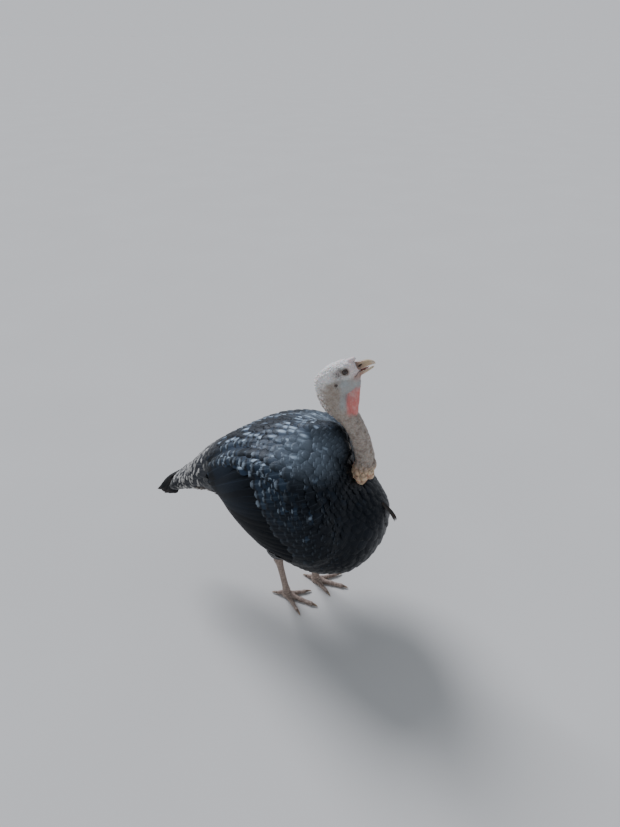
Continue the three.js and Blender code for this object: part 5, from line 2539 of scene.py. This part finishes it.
    def bills(self, shop: Workshop) -> None:
        """Hooked upper bill with a ridge and nostrils, lower bill, and the tongue between them.

        Args:
            shop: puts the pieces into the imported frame.
        """
        upper = loft(self.upper_bill_rows, 64, 14, 2.3)
        a, w, b = upper.points.T
        ridge = 1 - 0.28 * ease(26, 36, b)
        w = w * ridge
        place = np.array(self.nostril)
        distance = np.hypot((a - place[0]) / 5.2, (b - place[2] - 0.12 * (a - place[0])) / 1.9)
        swell = 0.7 * np.exp(-(((distance - 1.5) / 0.45) ** 2)) * (b > place[2])
        sunk = 1.9 * ease(1.1, 0.5, distance) - swell
        w = np.sign(w) * np.maximum(np.abs(w) - sunk * (np.abs(w) > 2), 0.0)
        shape = self.placed(Shape(np.stack([a, w, b], -1), upper.quads, upper.tris))
        pale = np.maximum(ease(20.5, 17.8, b) * ease(60, 72, a) * 0.9, 0.5 * ease(96, 106, a))
        pale = pale * (1 - ease(1.1, 0.6, distance))
        # painted shade in the nostril and in a broad patch behind it
        pit = ease(1.25, 0.75, distance) + 0.45 * np.exp(-(((a - 68) / 9) ** 2) - ((b - 27) / 5) ** 2)
        values = {"along": ease(58, 106, a), "rim": pale, "pit": np.clip(pit, 0, 1)}
        piece = shop.mesh("bill_upper", shape, values=values)
        shop.finished(piece, Finish.BILL, "bill_horn", "upper_bill")
        lower = loft(self.lower_bill_rows, 48, 12, 2.3)
        a, w, b = lower.points.T
        above = b > smooth_table(self.lower_bill_rows, a)[:, 1]
        hollow = 1.6 * ease(4.5, 0, np.abs(w)) * above * ease(100, 90, a)
        shape = self.placed(Shape(np.stack([a, w, b - hollow], -1), lower.quads, lower.tris))
        values = {"along": ease(50, 102, a), "rim": 0.8 * ease(10.5, 13.4, b)}
        piece = shop.mesh("bill_lower", shape, values=values)
        shop.finished(piece, Finish.LOWER_BILL, "bill_horn", "lower_bill")
        rows = [
            (52, 0, 13.2, 0, 0, 0),
            (60, 0, 14, 5.5, 1.2, 2),
            (74, 0, 14.2, 3.6, 1.1, 1.8),
            (88, 0, 14.4, 2, 0.9, 1.4),
            (93, 0, 14.6, 0, 0, 0),
        ]
        tongue = loft(rows, 16, 5)
        values = {"along": ease(55, 90, tongue.points[:, 0]), "rim": np.zeros(len(tongue.points))}
        piece = shop.mesh("tongue", self.placed(tongue), values=values)
        shop.finished(piece, Finish.MOUTH, "head_skin")

    def bristles(self, shop: Workshop, skin: Shape) -> None:
        """Sparse short black bristles on the bare skin, thickest round the ear and down the nape.

        Args:
            shop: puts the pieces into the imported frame.
            skin: skin of the head and neck.
        """
        rng = np.random.default_rng(self.seed + 9)
        points, normals = skin.points, point_normals(skin)
        a = self.local(points)[:, 0]
        ear, eye = (self.nearest(way, points) for way in (self.ear_distance, self.eye_distance))
        chance = 0.0035 * ease(480, 520, points[:, 2]) + 0.3 * ease(6.4, 3.4, ear)
        chance = chance + 0.004 * ease(10, -20, a)
        chance = chance * (eye > 9) * (a < 60) * (1 - self.flap_share(points))
        chosen = rng.random(len(points)) < chance
        roots, out = points[chosen], normals[chosen]
        away = unit(out * 0.55 + unit(NECK_BASE - roots) * 0.8 + rng.normal(0, 0.18, out.shape))
        length = rng.uniform(2.5, 6.0, len(roots))
        shape = spikes(roots - out * 0.4, away, length, np.full(len(roots), 0.42))
        spread = np.zeros(len(shape.points))
        each = len(shape.points) // len(roots)
        patches = BAKE_PATCH * np.tile(np.eye(each, 2), (len(roots), 1))
        maps = {"OFBake": np.repeat(unwrap(roots), each, axis=0) + patches}
        piece = shop.mesh("head_bristles", shape, maps, {"along": spread, "rim": spread})
        shop.finished(piece, Finish.BRISTLE, "head_skin")


def side_volume(shape: Shape) -> float:
    """Six times the signed volume of a closed shape of four-cornered faces."""
    a, b, c, d = (shape.points[shape.quads[:, k]] for k in range(4))
    return float(np.sum(a * (np.cross(b, c) + np.cross(c, d))))


@dataclass(frozen=True)
class BirdSkin:
    """The one skin under the coat: trunk with its wings' swell, ruff, thighs, neck, head and legs."""

    head: Head
    coat_depth: float = 9.5
    ruff_depth: float = 7.0
    thigh_depth: float = 12.5
    sides: int = 72
    scales_below: float = 176.0  # height where the shank's scales end under the thigh's feathers
    bare_above: float = 420.0

    def trunk(self) -> Shape:
        """The trunk's skin: rings of the body's form, settled the coat's depth below the coat.

        Returns:
            The trunk's skin.
        """
        spans = ((-372, -252, 12), (-240, 180, 42), (188, 228, 7))
        x = np.concatenate([np.linspace(*span) for span in spans])
        turns = np.arange(self.sides) / self.sides * 2 * np.pi
        rings = settle(cover_field, BODY.surface(x[:, None], turns[None]), -self.coat_depth)
        return capped([-378.0, 0.0, 300.0], rings, [226.5, 0.0, 330.0])

    def covered(self, form: Form, depth: float) -> Rows:
        """The skin under the feathers of a form.

        Args:
            form: the feathered form.
            depth: how far inside it the skin lies.

        Returns:
            Rows of a loft.
        """
        low, high = form.rows[0][0], form.rows[-1][0]
        s, u, v = form.axes
        rows = []
        inner = np.linspace(low + depth * 1.3, high - depth * 1.3, 9)
        table = np.column_stack([inner, smooth_table(form.rows, inner)])
        for place, middle_u, middle_v, wide, above, below in table:
            spot = [0.0, 0.0, 0.0]
            spot[s], spot[u], spot[v] = place, middle_u, middle_v
            reaches = [max(r - depth, 2.0) for r in (wide, above, below)]
            rows.append((*spot, *reaches))
        ends = []
        for row, way in ((rows[0], -1), (rows[-1], 1)):
            spot = list(row[:3])
            spot[s] += way * 3
            ends.append((*spot, 0, 0, 0))
        return [ends[0], *rows, ends[1]]

    def build(self, shop: Workshop) -> None:
        """Unites the parts, places the skin's colours and gives each region its finish.

        Args:
            shop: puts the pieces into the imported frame.
        """
        head = self.head.skin()
        ruff = loft(self.covered(RUFF, self.ruff_depth), 36, 3, upright=True)
        thighs = [self.thigh(leg) for leg in LEGS]
        legs = [leg.skin() for leg in LEGS]
        skin = united(self.trunk(), [ruff, *thighs, head, *legs])
        values = self.head.colours(skin.points)
        values["groove"] = np.max([leg.groove(skin.points) for leg in LEGS], axis=0)
        piece = shop.mesh("bird_skin", skin, values=values)
        middles = skin.points[skin.tris].mean(1)
        bare = (cover_field(middles) > -8) & (middles[:, 2] > self.bare_above) & (middles[:, 0] > 20)
        in_thigh = np.min([leg.thigh_form().field(middles) for leg in LEGS], axis=0) < -4
        scaled = (middles[:, 2] < self.scales_below) & (cover_field(middles) > 2) & ~in_thigh
        kinds = np.where(scaled, 2, np.where(bare, 1, 0)).astype(np.int32)
        for finish in (Finish.DOWN, Finish.SKIN, Finish.SCALE):
            piece.data.materials.append(shop.material(finish))
        piece.data.polygons.foreach_set("material_index", kinds)
        nodes = ["trunk", "tail_coverts", "neck_ruff", "neck_upper", "neck_lower"]
        nodes += ["head", "dewlap", "snood", "caruncles"]
        for leg in LEGS:
            label = leg.side.label
            nodes += [f"thigh_{label}", f"shank_{label}", f"foot_{label}"]
            nodes += [f"toe_{label}_{toe[0]}" for toe in leg.toes]
        shop.finished(piece, Finish.SKIN, "neck_skin", *nodes)
        self.head.bristles(shop, head)

    def thigh(self, leg: Leg) -> Shape:
        """A thigh's skin, inside its feathers."""
        # loft() reaches above along -x here, as the path runs upwards, so the two reaches change places
        rows = self.covered(leg.thigh_form(), self.thigh_depth)
        rows = [(*row[:4], row[5], row[4]) for row in rows]
        return loft(rows, 28, 3, side=(0, 1, 0))


@dataclass(frozen=True)
class Beard:
    """The tuft of long black bristles that hangs from the breast."""

    rows: Rows = (
        (208, 0, 396, 3.4, 4, 4),
        (223, 0, 388, 4.4, 4, 4),
        (236, 0, 378, 5.4, 4, 4),
        (246, 0, 367, 6.2, 4, 4),
        (253, 0, 356, 6.6, 4, 4),
        (258, 0, 344, 6.4, 4, 4),
    )
    count: int = 190
    rings: int = 11
    seed: int = 61

    def build(self, shop: Workshop) -> None:
        """Each bristle follows the tuft's path at its own place across, and tapers to its tip.

        Args:
            shop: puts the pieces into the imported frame.
        """
        rng = np.random.default_rng(self.seed)
        table = np.column_stack([np.arange(len(self.rows)), np.asarray(self.rows, float)])
        ends = 4.7 - 2.1 * rng.random(self.count)
        t = np.linspace(0, 1, self.rings)[None] * ends[:, None]
        path = smooth_table(table, t)
        turns, far = rng.uniform(0, 2 * np.pi, self.count), np.sqrt(rng.random(self.count))
        wide = np.maximum(path[..., 3], 1.4)
        offset = np.stack([np.sin(turns) * far * 0.6, np.cos(turns) * far, np.sin(turns) * far * 0.6], -1)
        middle = path[..., :3] + offset[:, None] * wide[..., None] * 0.9
        corners = np.arange(3) / 3 * 2 * np.pi
        thin = 0.5 * (1 - np.linspace(0, 0.8, self.rings) ** 2)
        around = np.stack([np.cos(corners), np.sin(corners), np.cos(corners)], -1)
        points = middle[:, :, None] + thin[None, :, None, None] * around
        last = (self.rings - 1) * 3
        tris = np.array([[2, 1, 0], [last, last + 1, last + 2]])
        step = np.arange(self.count)[:, None, None] * self.rings * 3
        quads = (tube_quads(self.rings, 3) + step).reshape(-1, 4)
        shape = Shape(points.reshape(-1, 3), quads, (tris + step).reshape(-1, 3))
        spread = np.zeros(len(shape.points))
        piece = shop.mesh("beard_bristles", shape, values={"along": spread, "rim": spread})
        shop.finished(piece, Finish.BRISTLE, "beard_bristle", "beard")


# ---------------------------------------------------------------- studio
@dataclass(frozen=True)
class Studio:
    """Pale floor, soft lights and the camera."""

    camera_place: tuple[float, float, float] = (0.5983, -1.1726, 1.40)
    camera_turn: tuple[float, float, float] = (58.0, 0.0, 22.0)
    lens: float = 27.03
    floor_half: float = 90.0
    sun_place: tuple[float, float, float] = (-1.5, 0.95, 2.15)  # the key light comes from this way
    sun_power: float = 3.0
    sun_colour: str = "#f3f6ff"
    high_sky: str = "#a7adb5"
    sky_fill: float = 1.03  # the high sky's share of the light on the floor
    aim: tuple[float, float, float] = (0.05, 0.0, 0.4)  # the bird's middle

    def sun(self) -> None:
        """The key light, as broad as a window, which looks at the bird's middle."""
        data = bpy.data.lights.new("key", "SUN")
        data.energy, data.color = self.sun_power, linear(self.sun_colour)[:3]
        data.angle = math.radians(24)
        lamp = bpy.data.objects.new("key", data)
        lamp.location = self.sun_place
        way = np.array(self.aim) - np.array(self.sun_place)
        flat = math.hypot(way[0], way[1])
        lamp.rotation_euler = (math.atan2(flat, -way[2]), 0.0, math.atan2(-way[0], way[1]))
        bpy.context.scene.collection.objects.link(lamp)

    def floor_tone(self) -> list[float]:
        """The floor's lit colour: its own, times the sun's share at that height and the high sky.

        Returns:
            Linear red, green, blue and 1.
        """
        place = np.array(self.sun_place) - self.aim
        rise = place[2] / np.linalg.norm(place)
        tones = (StudioFloor.tone, self.sun_colour, self.high_sky)
        own, sun, sky = (np.array(linear(tone)[:3]) for tone in tones)
        return [*(own * (sun * self.sun_power * rise / math.pi + sky * self.sky_fill)), 1.0]

    def build(self, shop: Workshop) -> None:
        """Builds the floor, the lights, the sky and the camera; the sky's foot has the floor's tone.

        Args:
            shop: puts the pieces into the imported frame.
        """
        h = self.floor_half
        corners = np.array([[-h, -h, 0], [h, -h, 0], [h, h, 0], [-h, h, 0]])
        floor = raw_object("studio_floor", Shape(corners, np.array([[0, 1, 2, 3]])))
        floor.data.materials.append(shop.material(Finish.FLOOR))
        self.sun()
        world = bpy.data.worlds.new("studio")
        bpy.context.scene.world = world
        world.use_nodes = True
        tree = world.node_tree
        height = add_node(tree, "SeparateXYZ", [add_node(tree, "TexCoord", output="Generated")], 2)
        share = add_node(tree, "MapRange", [height, 0.03, 0.3], **EASED)
        sky = add_node(tree, "Mix", {0: share, 6: self.floor_tone(), 7: self.high_sky}, **LAYER)
        tree.links.new(sky, tree.nodes["Background"].inputs[0])
        data = bpy.data.cameras.new("camera")
        data.sensor_width, data.lens = 36.0, self.lens
        camera = bpy.data.objects.new("camera", data)
        camera.location = self.camera_place
        camera.rotation_euler = [math.radians(v) for v in self.camera_turn]
        bpy.context.scene.collection.objects.link(camera)
        bpy.context.scene.camera = camera


def main() -> None:
    """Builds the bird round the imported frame, sub-assembly by sub-assembly."""
    logging.basicConfig(level=logging.INFO, format="%(name)s %(relativeCreated)d ms: %(message)s")
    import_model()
    shop = Workshop()
    head = Head()
    BirdSkin(head).build(shop)
    head.eyes(shop)
    head.bills(shop)
    BodyCoat().build(shop)
    for side in Side:
        Wing(side).build(shop)
    Tail().build(shop)
    for leg in LEGS:
        leg.build(shop)
    Beard().build(shop)
    Studio().build(shop)


if __name__ == "__main__":
    main()
